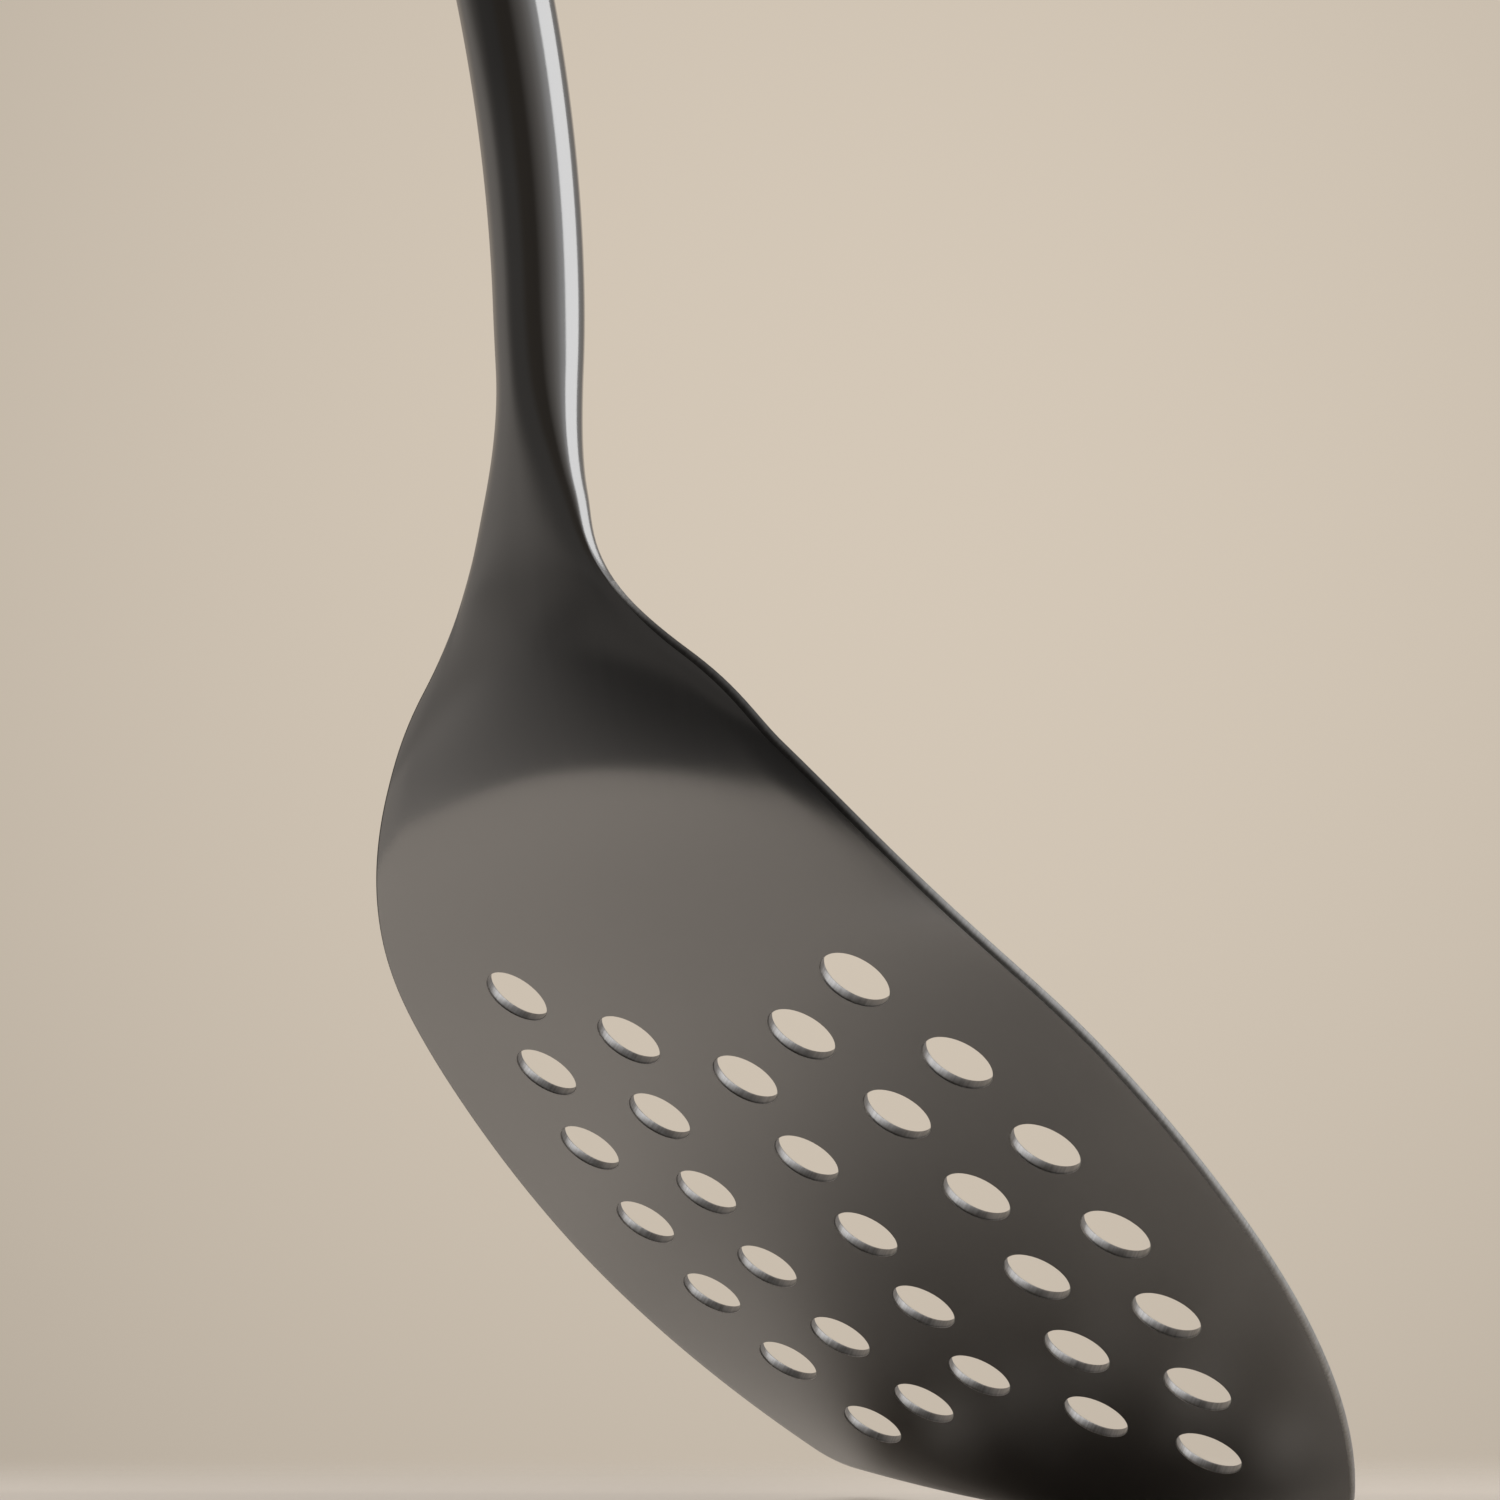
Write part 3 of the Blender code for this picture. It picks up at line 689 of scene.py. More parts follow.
def punch_tree(kinds):
    """Geometry Nodes: a round punch with a rolled rim at every hole's place, cut from the sheet."""
    tree = bpy.data.node_groups.new("punched_holes", "GeometryNodeTree")
    for label, kind in {"Sheet metal": "Geometry", **kinds}.items():
        tree.interface.new_socket(label, in_out="INPUT", socket_type="NodeSocket" + kind)
    tree.interface.new_socket("Punched sheet", in_out="OUTPUT", socket_type="NodeSocketGeometry")
    press = Nodes(tree)
    given = press.add("NodeGroupInput").outputs
    radius = press.math("DIVIDE", given["Hole diameter"], 2)
    half = press.math("DIVIDE", given["Sheet thickness"], 2)
    rounding = given["Rim rounding"]

    def profile(turn_degrees, side):
        """Radius and height of the punch where its flared rim has turned that far."""
        turn = math.radians(turn_degrees)
        wide = press.math("MULTIPLY_ADD", rounding, 1 - math.cos(turn), radius)
        high = press.math("SUBTRACT", half, press.math("MULTIPLY", rounding, 1 - math.sin(turn)))
        return wide, press.math("MULTIPLY", high, side)

    def mouth(side):
        """The flare goes on straight past the sheet's face."""
        turn = math.radians(PUNCH_TURNS[0])
        past = press.math("MULTIPLY_ADD", rounding, PUNCH_MOUTH, half)
        reach = press.math("MULTIPLY", rounding, PUNCH_MOUTH + 1 - math.sin(turn))
        wide = press.math("MULTIPLY_ADD", reach, math.tan(turn), profile(PUNCH_TURNS[0], side)[0])
        return wide, press.math("MULTIPLY", past, side)

    def upward(length):
        return press.first("ShaderNodeCombineXYZ", {"Z": length})

    steps = [mouth(-1)] + [profile(turn, -1) for turn in PUNCH_TURNS]
    steps += [profile(turn, 1) for turn in reversed(PUNCH_TURNS)] + [mouth(1)]
    wide, high = steps[0]
    disc = press.first(
        "GeometryNodeMeshCircle", {"Vertices": given["Hole sides"], "Radius": wide}, fill_type="NGON"
    )
    start = press.first("GeometryNodeTransform", {"Geometry": disc, "Translation": upward(high)})
    body, top = start, None
    for next_wide, next_high in steps[1:]:
        push = press.add("GeometryNodeExtrudeMesh", {
            "Mesh": body, "Offset": upward(press.math("SUBTRACT", next_high, high)),
        }, mode="FACES")
        if top:
            press.feed(push.inputs["Selection"], top)
        top = push.outputs["Top"]
        body = press.first("GeometryNodeScaleElements", {
            "Geometry": push.outputs["Mesh"],
            "Selection": top,
            "Scale": press.math("DIVIDE", next_wide, wide),
        })
        wide, high = next_wide, next_high
    both = press.add("GeometryNodeJoinGeometry", {0: body})
    press.feed(both.inputs[0], press.first("GeometryNodeFlipFaces", {"Mesh": start}))
    punch = press.first(
        "GeometryNodeMergeByDistance", {"Geometry": both.outputs[0], "Distance": MERGE_DISTANCE}
    )
    places = press.add("GeometryNodeObjectInfo", {"Object": given["Hole places"]})
    square = press.add(
        "GeometryNodeInputNamedAttribute", {"Name": "square_to_sheet"}, data_type="FLOAT_VECTOR"
    )
    aim = press.first(
        "FunctionNodeAlignRotationToVector", {"Vector": square.outputs["Attribute"]}, axis="Z"
    )
    stamp = press.first("GeometryNodeInstanceOnPoints", {
        "Points": places.outputs["Geometry"], "Instance": punch, "Rotation": aim,
    })
    real = press.first("GeometryNodeRealizeInstances", {"Geometry": stamp})
    wall = press.first("GeometryNodeSetMaterial", {"Geometry": real, "Material": given["Wall steel"]})
    cut = press.add(
        "GeometryNodeMeshBoolean", {"Mesh 1": given["Sheet metal"], "Mesh 2": wall},
        operation="DIFFERENCE", solver="EXACT",
    )
    press.add("NodeGroupOutput", {0: press.first("GeometryNodeSetMaterial", {
        "Geometry": press.first("GeometryNodeRealizeInstances", {"Geometry": cut.outputs["Mesh"]}),
        "Selection": press.first("GeometryNodeMaterialSelection", {"Material": given["Face steel"]}),
        "Material": given["Face steel"],
    })})
    return tree


def hole_places():
    """Points on the pressed sheet where the punches go, each square to the sheet."""
    mesh = bpy.data.meshes.new("hole_places")
    turn = UPRIGHT.to_3x3()
    places, squares = [], []
    for centre in HOLES:
        x, s, step = centre.x, -centre.y, 0.5 * MM
        along = on_sheet(s - step, x, 0) - on_sheet(s + step, x, 0)
        sideways = on_sheet(s, x + step, 0) - on_sheet(s, x - step, 0)
        places.append(UPRIGHT @ on_sheet(s, x, 0))
        squares.append(turn @ sideways.cross(along).normalized())
    mesh.from_pydata(places, [], [])
    store = mesh.attributes.new("square_to_sheet", "FLOAT_VECTOR", "POINT")
    store.data.foreach_set("vector", np.array(squares).ravel())
    return piece("hole_places", mesh)


def punch_holes(blade, face_steel, wall_steel):
    places = hole_places()
    settings = {
        "Hole places": ("Object", places),
        "Hole diameter": ("Float", HOLE_DIAMETER),
        "Sheet thickness": ("Float", SHEET),
        "Rim rounding": ("Float", PUNCH_ROUND),
        "Hole sides": ("Int", HOLE_SIDES),
        "Face steel": ("Material", face_steel),
        "Wall steel": ("Material", wall_steel),
    }
    punched = blade.modifiers.new("punched_holes", "NODES")
    punched.node_group = punch_tree({label: kind for label, (kind, _) in settings.items()})
    for item in punched.node_group.interface.items_tree:
        if item.name in settings:
            punched[item.identifier] = settings[item.name][1]
    as_plain_mesh(blade)
    bpy.data.objects.remove(places)


def borrow_normals(obj, skin, keep_faces):
    """Shade the faces by the whole head's own smooth surface, so the weld and holes leave no mark."""
    places = [UPRIGHT @ p for p in skin.points]
    turn = UPRIGHT.to_3x3()
    normals = [turn @ Vector(n) for n in skin.normals()]
    tree = BVHTree.FromPolygons(places, skin.faces)
    mesh = obj.data
    wanted = [Vector((0, 0, 0))] * len(mesh.loops)
    for polygon in mesh.polygons:
        if not keep_faces(polygon):
            continue
        for k in polygon.loop_indices:
            place = mesh.vertices[mesh.loops[k].vertex_index].co
            spot, _, face, _ = tree.find_nearest(place)
            corners = skin.faces[face]
            shares = poly_3d_calc([places[c] for c in corners], spot)
            blend = sum((normals[c] * w for c, w in zip(corners, shares)), Vector())
            if blend.dot(polygon.normal) > SAME_SIDE:
                wanted[k] = blend.normalized()
    mesh.normals_split_custom_set(wanted)


def make_head(steels):
    """Blade and neck, drawn as one surface so that the ground weld between them doesn't show."""
    skin = Skin()
    weld_ring, first_rim_face = draw_blade(skin)
    blade_faces = list(skin.faces)
    last_ring = draw_neck(skin, weld_ring)
    neck_faces = skin.faces[len(blade_faces):]
    if skin.normals()[ACROSS_STEPS // 2][2] > 0:
        skin.faces = [f[::-1] for f in skin.faces]
    cap, top = tuple(weld_ring), tuple(last_ring)
    used = steels["blade"], steels["rim"]
    blade = closed_piece("punched_blade", skin.points, blade_faces + [cap], *used)
    neck = closed_piece("forged_neck", skin.points, neck_faces + [cap, top], *used)
    for face in blade.data.polygons[first_rim_face:len(blade_faces)]:
        face.material_index = 1
    around = len(cap)
    # The neck's rim rows near the weld take the rim steel and its painted shade.
    for k, face in enumerate(neck.data.polygons[:FLARE_RIM_ROWS * around]):
        if k % (around // 2) >= ACROSS_STEPS:
            face.material_index = 1
    punch_holes(blade, steels["blade"], steels["hole_wall"])
    borrow_normals(blade, skin, lambda p: p.material_index == 0 and len(p.vertices) < around)
    borrow_normals(neck, skin, lambda p: len(p.vertices) < around)
    lay_lengthwise(blade)
    lay_lengthwise(neck)
    return blade, neck


def make_shell(name, side, steel):
    """One pressed half of the hollow handle, its edges eased where it meets its neighbours."""

    def section(s, sunk):
        half_width, half_height = handle_section(s)

        def oval(inset, turn):
            return (half_width - inset) * math.cos(turn), side * (half_height - inset) * math.sin(turn)

        turns = spread(0.0, math.pi, SHELL_SIDES + 1)
        outside = [oval(sunk, turn) for turn in turns]
        for k in (0, -1):
            outside[k] = oval(sunk + SEAM_ROUND, turns[k])
        return outside + [oval(SHELL_WALL, turn) for turn in spread(math.pi, 0.0, SHELL_SIDES + 1)]

    stations = [(JOINT_S, SEAM_ROUND)]
    stations += [(s, 0.0) for s in spread(JOINT_S + SEAM_ROUND, PLUG_S - SEAM_ROUND, SHELL_ROWS)]
    stations += [(PLUG_S, SEAM_ROUND)]
    shell = closed_tube(name, stations, section, steel)
    lay_lengthwise(shell, round_about=HANDLE_WIDTH / 2)
    return shell


def end_section(s, shrink):
    """Oval of the hanging end with its two ground flats, each eased into the oval."""
    half_width, half_height = handle_section(s)
    before_flat = SLOT_S - SLOT_LENGTH / 2 - FLAT_MARGIN - s
    limit = FLAT_THICKNESS / 2
    if before_flat > 0:
        reach = min(before_flat, FLAT_RUNOUT_RADIUS)
        limit += FLAT_RUNOUT_RADIUS - math.sqrt(FLAT_RUNOUT_RADIUS ** 2 - reach ** 2)
    points = []
    for k in range(END_SIDES):
        turn = 2 * math.pi * (k + 0.5) / END_SIDES
        rise = half_height * shrink * abs(math.sin(turn))
        blend = max(FLAT_EASE - abs(rise - limit), 0.0) / FLAT_EASE
        rise = max(min(rise, limit) - blend * blend * FLAT_EASE / 4, 0)
        points.append((half_width * shrink * math.cos(turn), math.copysign(rise, math.sin(turn))))
    return points


def slot_cutter(steel):
    """Hanging slot with round ends and flared mouths."""
    skin = Skin()
    flat = FLAT_THICKNESS / 2
    reach = (SLOT_LENGTH - SLOT_WIDTH) / 2
    turns = [(flat + SLOT_MOUTH_RISE, SLOT_MOUTH_OUT)]
    for turn in map(math.radians, SLOT_TURNS):
        turns.append((flat - SLOT_ROUND * (1 - math.sin(turn)), SLOT_ROUND * (1 - math.cos(turn))))
    y, z, slope = centre_line(SLOT_S)
    up_handle = Vector((0, -math.cos(slope), math.sin(slope)))
    food = Vector((0, math.sin(slope), math.cos(slope)))
    rings = []
    for rise, out in [(-rise, out) for rise, out in turns] + turns[::-1]:
        radius = SLOT_WIDTH / 2 + out
        outline = [
            (radius * math.cos(a), reach + radius * math.sin(a))
            for a in spread(0, math.pi, SLOT_END_POINTS)
        ]
        outline += [(-x, -v) for x, v in outline]
        rings.append([skin.add(Vector((x, y, z)) + up_handle * v + food * rise) for x, v in outline])
    for ring, fresh in zip(rings, rings[1:]):
        skin.strip(ring, fresh, closed=True)
    ends = [tuple(rings[0]), tuple(rings[-1])]
    return closed_piece("slot_cutter", skin.points, skin.faces + ends, steel)


def make_hanging_end(steel):
    """Solid end: oval body, rounded nose, ground flats and the hanging slot."""
    nose_start = TIP_S - NOSE_LENGTH
    stations = [(PLUG_S, 1 - SEAM_ROUND / HANDLE_WIDTH * 2)]
    stations += [(s, 1.0) for s in spread(PLUG_S + SEAM_ROUND, nose_start, END_ROWS)]
    for turn in spread(0.0, NOSE_TURN, NOSE_ROWS)[1:]:
        stations.append((nose_start + NOSE_LENGTH * math.sin(turn), math.cos(turn)))
    end = closed_tube("slotted_end", stations, end_section, steel)
    cutter = slot_cutter(steel)
    slot = end.modifiers.new("hanging_slot", "BOOLEAN")
    slot.operation = "DIFFERENCE"
    slot.solver = "EXACT"
    slot.object = cutter
    as_plain_mesh(end)
    bpy.data.objects.remove(cutter)
    lay_lengthwise(end, round_about=HANDLE_WIDTH / 2)
    return end


# Grain of the steels. Brushed lines have the width, length, detail and shift of their noise.
FINE_LINES = (0.16 * MM, 14 * MM, 3.0, 0.3)
BROAD_LINES = (1.1 * MM, 60 * MM, 2.0, 7.1)
PATCH_SCALE = 60.0
SCORE_SCALE = 4200.0
FINE_ROUGH, BROAD_ROUGH, PATCH_ROUGH, SCORE_ROUGH = 0.04, 0.03, 0.02, 0.2
BRUSHED_CONTRAST, SCORE_CONTRAST = 0.03, 0.45
BRUSHED_RELIEF, SCORE_RELIEF = 0.03, 0.3
BROAD_SHARE = 0.4
RELIEF_DEPTH = 0.02 * MM

# Where painted shade, a darkening of the cut edge's colour near the weld, sets in and ends along the edge
PAINTED_SHADE_START = (WELD_S - 30 * MM, WELD_S - 14 * MM)
PAINTED_SHADE_END = (WELD_S + 2 * MM, WELD_S + 7 * MM)

# Where the head's steel turns from satin to polished
POLISH = (86 * MM, 95 * MM)
EVEN = (0.0, 1.0)


class Finish(Nodes):
    """A material while it is made."""

    def __init__(self, name):
        self.material = bpy.data.materials.new(name)
        self.material.use_nodes = True
        super().__init__(self.material.node_tree)

    def place(self):
        return self.add("ShaderNodeTexCoord").outputs["Object"]

    def on_map(self):
        return self.first("ShaderNodeUVMap", uv_map=LENGTHWISE)

    def along(self):
        """Distance along the tool."""
        return self.add("ShaderNodeSeparateXYZ", {0: self.on_map()}).outputs["Y"]

    def noise(self, place, scale, detail=2.0):
        return self.add("ShaderNodeTexNoise", {
            "Vector": place, "Scale": scale, "Detail": detail,
        }).outputs["Fac"]

    def lines(self, width, length, detail, shift):
        """Noise drawn out along the tool, as brushing leaves it."""
        drawn = self.vector("MULTIPLY", self.on_map(), (1 / width, 1 / length, 1.0))
        return self.noise(self.vector("ADD", drawn, (0.0, 0.0, shift)), 1.0, detail)

    def roughened(self, rough, *grains):
        """Roughness with each grain's share laid over it."""
        for grain, share in grains:
            rough = self.math("MULTIPLY_ADD", self.math("SUBTRACT", grain, 0.5), share, rough)
        return rough

    def tinted(self, factor, colour, contrast):
        """Colour that varies as far to the dark as to the light."""
        dark, light = ((*(c * level for c in colour), 1.0) for level in (1 - contrast, 1 + contrast))
        return self.blend(factor, dark, light)

    def relief(self, strength, height):
        return self.first("ShaderNodeBump", {
            "Strength": strength, "Distance": RELIEF_DEPTH, "Height": height,
        })

    def finished(self, looks):
        """The material with these looks."""
        shader = self.nodes["Principled BSDF"]
        for label, source in looks.items():
            self.feed(shader.inputs[label], source)
        return self.material


def brushed_steel(name, colour, satin, polish, anisotropy, turn):
    """Stainless steel brushed lengthwise, which turns from satin to polish along the tool."""
    steel = Finish(name)
    fine, broad = steel.lines(*FINE_LINES), steel.lines(*BROAD_LINES)
    patches = steel.noise(steel.place(), PATCH_SCALE)
    both = steel.math("MULTIPLY_ADD", fine, 0.5, steel.math("MULTIPLY", broad, 0.5))
    deep = steel.math("MULTIPLY_ADD", broad, BROAD_SHARE, fine)
    return steel.finished({
        "Base Color": steel.tinted(both, colour, BRUSHED_CONTRAST),
        "Roughness": steel.roughened(
            steel.ramp(steel.along(), *turn, satin, polish),
            (fine, FINE_ROUGH), (broad, BROAD_ROUGH), (patches, PATCH_ROUGH),
        ),
        "Normal": steel.relief(BRUSHED_RELIEF, deep),
        "Tangent": steel.first("ShaderNodeTangent", direction_type="UV_MAP", uv_map=LENGTHWISE),
        "Metallic": 1.0,
        "Anisotropic": anisotropy,
    })


def cut_edge_steel(name, colour, roughness, painted_weld_shade=1.0):
    """Steel of a cut or punched edge: rough, scored through the sheet, its colour darkened near the weld
    as painted shade.
    """
    steel = Finish(name)
    where = steel.place()
    through = steel.vector("PROJECT", where, UPRIGHT.col[2].xyz)
    marks = steel.noise(steel.vector("SUBTRACT", where, through), SCORE_SCALE)
    # Painted shade: the edge's colour is scaled down near the weld.
    before = steel.ramp(steel.along(), *PAINTED_SHADE_START, 1.0, painted_weld_shade)
    after = steel.ramp(steel.along(), *PAINTED_SHADE_END, painted_weld_shade, 1.0)
    tint = steel.tinted(marks, colour, SCORE_CONTRAST)
    return steel.finished({
        "Base Color": steel.scaled(tint, steel.math("MAXIMUM", before, after)),
        "Roughness": steel.roughened(roughness, (marks, SCORE_ROUGH)),
        "Normal": steel.relief(SCORE_RELIEF, marks),
        "Metallic": 1.0,
    })


def make_steels():
    return {
        "blade": brushed_steel("brushed_head_steel", (0.430, 0.436, 0.446), 0.19, 0.11, 0.65, POLISH),
        # The rim's colour carries painted shade near the weld.
        "rim": cut_edge_steel("eased_rim_steel", (0.45, 0.453, 0.456), 0.6, painted_weld_shade=0.3),
        "hole_wall": cut_edge_steel("punched_wall_steel", (0.44, 0.44, 0.445), 0.38),
        "handle": brushed_steel("satin_handle_steel", (0.45, 0.45, 0.455), 0.2, 0.2, 0.5, EVEN),
        "end": brushed_steel("ground_end_steel", (0.46, 0.46, 0.465), 0.22, 0.22, 0.4, EVEN),
    }


# Directions of the studio: away from the camera, and to its right, both level
AWAY = Vector((-math.sin(CAMERA_AZIMUTH), math.cos(CAMERA_AZIMUTH), 0.0))
RIGHT = Vector((math.cos(CAMERA_AZIMUTH), math.sin(CAMERA_AZIMUTH), 0.0))
UP = Vector((0, 0, 1))

# Pale floor: a plinth with a round corner to the left of the blade, its far edge lost in the soft light,
# measured to the right of the camera and away from it
PLINTH_TURN = math.radians(19.5)
PLINTH_DEPTH = RIGHT * math.sin(PLINTH_TURN) + AWAY * math.cos(PLINTH_TURN)
PLINTH_BACK, PLINTH_SOFT = 0.362, 0.029
PLINTH_LEFT, PLINTH_RIGHT = -0.235, 0.30
PLINTH_CORNER = ((-0.127, 0.353), 0.110, math.pi, math.radians(320), 40)
PLINTH_FRONT = 0.1
PLINTH_GAP = 0.2 * MM

# Its paper's fibre, and the painted light and shade on it as (from, to, tone before, tone after), in
# depth from where it fades
PAPER_FIBRE, PAPER_CONTRAST = 900.0, 0.02
FAR_PAINTED_LIGHT = (-4 * MM, 5 * MM, 1.0, 1.42)
FRONT_PAINTED_LIGHT_SHARE = (-48 * MM, -13 * MM, 1.0, 0.22)
TIP_SHADE_SETS_IN = (-48 * MM, -24 * MM, 0.0, 1.0)
TIP_SHADE_EASES_OFF = (-18 * MM, -6 * MM, 1.0, 0.65)
SEEN_TONE = (-5 * MM, 3 * MM, 0.36, 0.0)
# Its painted light and shade to the right of the camera: lighter to the left and right, painted shade
# beside the blade's tip
LEFT_PAINTED_LIGHT = (-160 * MM, -60 * MM, 1.06, 1.0)
RIGHT_PAINTED_LIGHT = (-15 * MM, 30 * MM, 0.0, 0.62)
TIP_PAINTED_SHADE = (-55 * MM, -30 * MM, 0.0, -0.2)

# How bright the room is round the tool, as (degrees to the right of the camera's side, level, warmth)
ROOM_ABOVE = (
    (-180, 0.33, 0.26), (-140, 0.37, 0.26), (-128, 0.30, 0.22), (-118, 0.262, 0.18), (-104, 0.25, 0.18),
    (-96, 0.236, 0.18), (-88, 0.205, 0.18), (-80, 0.13, 0.18), (-72, 0.085, 0.18), (-64, 0.072, 0.16),
    (-40, 0.07, 0.16), (-24, 0.05, 0.3), (4, 0.044, 0.3), (16, 0.10, 0.2), (32, 0.165, 0.17),
    (48, 0.26, 0.12), (64, 0.46, 0.06), (76, 0.5, 0.04), (120, 0.46, 0.06), (134, 0.31, 0.13),
    (152, 0.28, 0.2), (158, 0.57, 0.26), (180, 0.57, 0.26),
)
ROOM_LEVEL = (
    (-180, 0.33, 0.26), (-140, 0.37, 0.26), (-128, 0.30, 0.22), (-114, 0.27, 0.18), (-104, 0.185, 0.18),
    (-96, 0.152, 0.18), (-88, 0.118, 0.18), (-80, 0.092, 0.18), (-72, 0.072, 0.18), (-64, 0.056, 0.16),
    (-36, 0.05, 0.16), (-22, 0.045, 0.3), (4, 0.042, 0.3), (16, 0.10, 0.2), (32, 0.16, 0.17),
    (48, 0.26, 0.12), (64, 0.46, 0.06), (120, 0.46, 0.06), (134, 0.31, 0.13), (152, 0.28, 0.2),
    (158, 0.57, 0.26), (180, 0.57, 0.26),
)
ROOM_BELOW = (
    (-180, 0.35, 0.26), (-130, 0.32, 0.22), (-110, 0.34, 0.2), (-106, 0.33, 0.18), (-100, 0.205, 0.16),
    (-96, 0.135, 0.16), (-92, 0.12, 0.16), (-88, 0.10, 0.16), (-85, 0.075, 0.15), (-81, 0.042, 0.14),
    (-76, 0.029, 0.14), (-70, 0.027, 0.14), (0, 0.027, 0.2), (60, 0.2, 0.1), (130, 0.3, 0.15),
    (180, 0.35, 0.26),
)

# Heights between which the room's bands blend, as sines
LOW_BLEND, HIGH_BLEND = (-0.09, 0.0), (0.06, 0.18)

# Wall that the camera sees: its colour, the glow on it by slopes from the middle of the view, and how
# straight ahead a mirrored ray has to go to meet it
WALL = (0.659, 0.575, 0.474)
GLOW_ASIDE, GLOW_ABOVE = 0.053, 0.106
GLOW_WIDTH, GLOW_HEIGHT = 1.30, 1.43
GLOW_END, GLOW_LAST_TONE = 0.36, -0.02
MIRRORED_AHEAD = (0.92, 0.97)

LAMP_AIM = Vector((0.0, 0.06, -0.2))

CAMERA_BACK = -AWAY * math.cos(CAMERA_ELEVATION) + UP * math.sin(CAMERA_ELEVATION)
CAMERA_PLACE = CAMERA_AIM + CAMERA_BACK * CAMERA_DISTANCE
CAMERA_TURN = (-CAMERA_BACK).to_track_quat("-Z", "Y") @ Quaternion((0, 0, 1), CAMERA_ROLL)


def set_up(obj, place, turn):
    obj.location = place
    obj.rotation_mode = "QUATERNION"
    obj.rotation_quaternion = turn


def set_camera():
    camera = piece("camera", bpy.data.cameras.new("camera"))
    set_up(camera, CAMERA_PLACE, CAMERA_TURN)
    camera.data.sensor_width = SENSOR_WIDTH
    camera.data.lens = CAMERA_LENS
    camera.data.clip_start = NEAREST_SEEN
    bpy.context.scene.camera = camera


def paper(name, colour, ground):
    """Pale paper with a faint fibre and painted light and shade easing from place to place, faded at its
    far edge.
    """
    sheet = Finish(name)
    where = sheet.place()
    depth, far = sheet.reach(where, PLINTH_DEPTH), ground.dot(PLINTH_DEPTH) + PLINTH_BACK
    across, middle = sheet.reach(where, RIGHT), ground.dot(RIGHT)
    soft = far - PLINTH_SOFT

    def in_depth(low, high, before, after):
        return sheet.ramp(depth, soft + low, soft + high, before, after)

    def sideways(low, high, before, after):
        return sheet.ramp(across, middle + low, middle + high, before, after)

    seen = sheet.add("ShaderNodeLightPath").outputs["Is Camera Ray"]
    # Painted light and shade: the paper's colour is made lighter to the right, the left and the far edge,
    # and darker beside the blade's tip where only the metal mirrors it.
    behind = sheet.math("MULTIPLY", in_depth(*TIP_SHADE_SETS_IN), in_depth(*TIP_SHADE_EASES_OFF))
    behind = sheet.math("MULTIPLY", behind, sheet.math("SUBTRACT", 1.0, seen))
    light = sheet.math("MULTIPLY_ADD", sideways(*RIGHT_PAINTED_LIGHT), in_depth(*FRONT_PAINTED_LIGHT_SHARE), 1.0)
    light = sheet.math("MULTIPLY_ADD", sideways(*TIP_PAINTED_SHADE), behind, light)
    for tone in (
        sheet.math("MULTIPLY", in_depth(*FAR_PAINTED_LIGHT), sideways(*LEFT_PAINTED_LIGHT)),
        sheet.math("MULTIPLY_ADD", seen, in_depth(*SEEN_TONE), 1.0),
    ):
        light = sheet.math("MULTIPLY", light, tone)
    tint = sheet.tinted(sheet.noise(where, PAPER_FIBRE), colour, PAPER_CONTRAST)
    return sheet.finished({
        "Base Color": sheet.scaled(tint, light),
        "Roughness": 0.9,
        "Specular IOR Level": 0.1,
        "Alpha": sheet.ramp(depth, soft, far, 1.0, 0.0),
    })


def make_plinth(height):
    """Pale floor under the blade's front edge."""
    ground = Vector((*CAMERA_PLACE.xy, height))
    mesh = bpy.data.meshes.new("pale_floor")
    bm = bmesh.new()

    def far_edge(right):
        return right, (PLINTH_BACK - right * math.sin(PLINTH_TURN)) / math.cos(PLINTH_TURN)

    outline = [tuple(place) for place, out in arc_places(*PLINTH_CORNER)]
    outline.append((PLINTH_RIGHT, outline[-1][1] - PLINTH_FRONT))
    outline += [far_edge(PLINTH_RIGHT), far_edge(PLINTH_LEFT)]
    bm.faces.new([bm.verts.new(ground + RIGHT * right + AWAY * away) for right, away in outline])
    bm.to_mesh(mesh)
    bm.free()
    floor = piece("pale_floor", mesh)
    floor.data.materials.append(paper("pale_paper", (0.46, 0.42, 0.375), ground))
    floor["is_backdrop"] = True


def soft_lamp(name, right, away, up, width, height, strength, colour=(1, 1, 1), mirrored=True):
    """Soft box that faces the blade from a place given to the camera's right, away from it and up."""
    data = bpy.data.lights.new(name, "AREA")
    data.shape = "RECTANGLE"
    data.size, data.size_y = width, height
    data.energy = strength * math.pi * width * height
    data.color = colour
    lamp = piece(name, data)
    place = LAMP_AIM + RIGHT * right + AWAY * away + UP * up
    set_up(lamp, place, (LAMP_AIM - place).to_track_quat("-Z", "Y"))
    lamp.visible_camera = False
    lamp.visible_glossy = mirrored


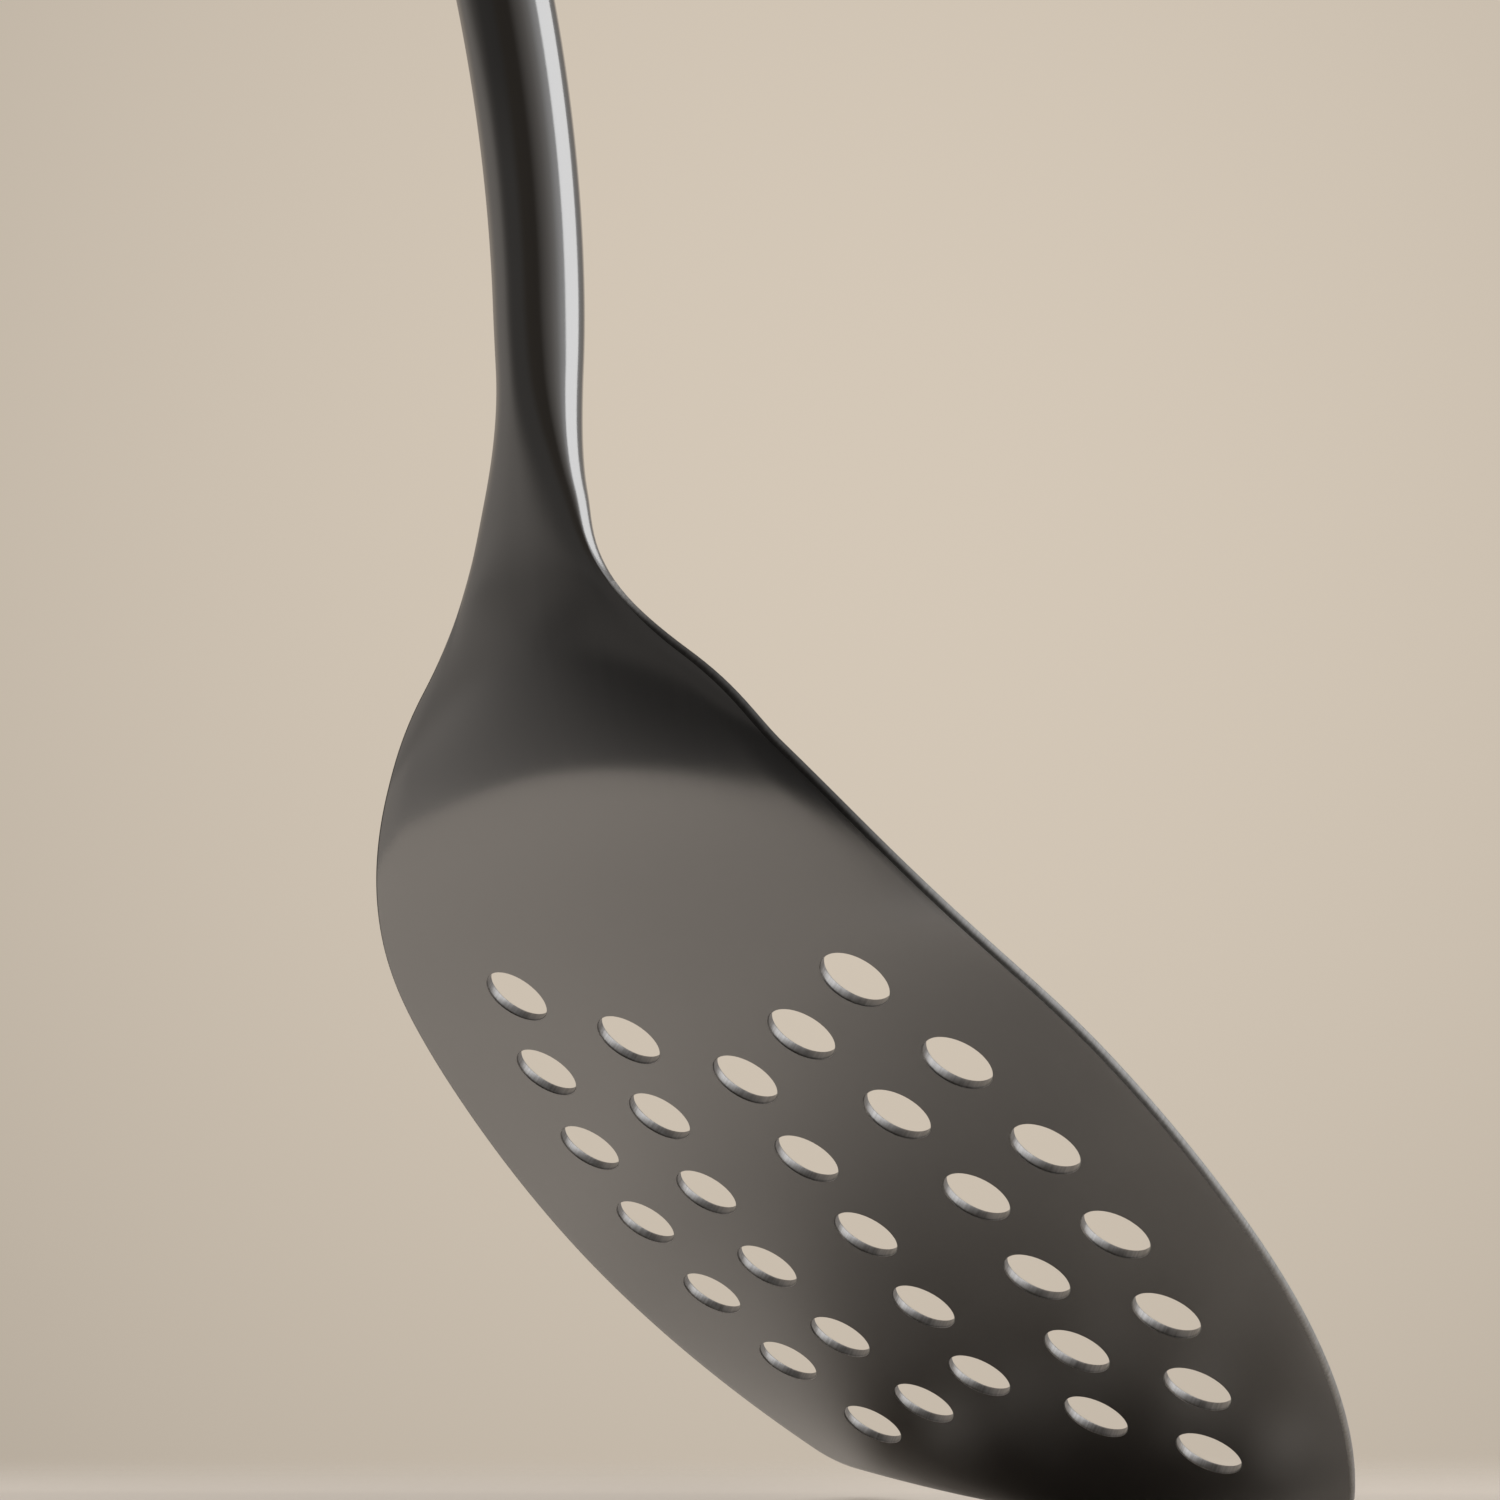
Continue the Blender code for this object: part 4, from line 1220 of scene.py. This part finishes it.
def set_world():
    """Dim room round the tool, with the beige wall that the camera sees."""
    world = bpy.data.worlds.new("studio")
    bpy.context.scene.world = world
    world.use_nodes = True
    world.node_tree.nodes.clear()
    room = Nodes(world.node_tree)
    toward = room.add("ShaderNodeTexCoord").outputs["Generated"]

    def facing(direction):
        return room.reach(toward, direction)

    def band(levels):
        node = room.add("ShaderNodeValToRGB", {0: turn})
        stops = node.color_ramp.elements
        for k, (_, level, warmth) in enumerate(levels):
            stop = stops[k] if k < 2 else stops.new(1.0)
            stop.color = (level, level * (1 - warmth / 2), level * (1 - warmth), 1.0)
        for stop, (degrees, _, _) in zip(stops, levels):
            stop.position = degrees / 360 + 0.5
        return node.outputs["Color"]

    def off_middle(direction, middle, reach):
        """Square of how far a ray's slope lies from the middle of the glow."""
        aside = room.math("SUBTRACT", room.math("DIVIDE", facing(direction), ahead), middle)
        aside = room.math("DIVIDE", aside, reach)
        return room.math("MULTIPLY", aside, aside)

    turn = room.math("ARCTAN2", facing(RIGHT), facing(-AWAY))
    turn = room.math("MULTIPLY_ADD", turn, 1 / (2 * math.pi), 0.5)
    dim = room.blend(room.ramp(facing(UP), *LOW_BLEND, 0.0, 1.0), band(ROOM_BELOW), band(ROOM_LEVEL))
    dim = room.blend(room.ramp(facing(UP), *HIGH_BLEND, 0.0, 1.0), dim, band(ROOM_ABOVE))

    right, up, back = CAMERA_TURN.to_matrix().col
    ahead = facing(-back)
    out = room.math("SQRT", room.math(
        "ADD", off_middle(right, GLOW_ASIDE, GLOW_WIDTH), off_middle(up, GLOW_ABOVE, GLOW_HEIGHT)
    ))
    glow = room.ramp(room.math("MINIMUM", out, GLOW_END), 0.0, 1.0, 1.0, GLOW_LAST_TONE)
    rays = room.add("ShaderNodeLightPath").outputs
    mirrored = room.math("MAXIMUM", rays["Is Glossy Ray"], rays["Is Transmission Ray"])
    mirrored = room.math("MULTIPLY", mirrored, room.ramp(ahead, *MIRRORED_AHEAD, 0.0, 1.0))
    seen = room.math("MAXIMUM", rays["Is Camera Ray"], mirrored)
    light = room.first("ShaderNodeBackground", {"Color": room.blend(seen, dim, room.scaled(WALL, glow))})
    room.add("ShaderNodeOutputWorld", {"Surface": light})


def main():
    steels = make_steels()
    blade, neck = make_head(steels)
    top = make_shell("handle_top_half", 1, steels["handle"])
    bottom = make_shell("handle_bottom_half", -1, steels["handle"])
    end = make_hanging_end(steels["end"])
    for obj, node, slot in (
        (blade, "blade", "blade_steel"),
        (neck, "neck", "neck_steel"),
        (top, "handle_top_shell", "handle_steel"),
        (bottom, "handle_bottom_shell", "handle_steel"),
        (end, "hanging_end", "end_steel"),
    ):
        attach(obj, "root")
        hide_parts(node)

    set_camera()
    set_world()
    make_plinth(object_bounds()[0].z - PLINTH_GAP)
    soft_lamp(
        "right_soft_box", right=0.945, away=0.13, up=0.28, width=0.84, height=1.2, strength=1.04,
        colour=(1.0, 0.985, 0.965),
    )
    soft_lamp(
        "overhead_soft_box", right=-0.36, away=0.15, up=1.0, width=0.9, height=0.9, strength=3.4,
        mirrored=False,
    )
    bpy.context.scene.view_settings.view_transform = "Standard"


main()
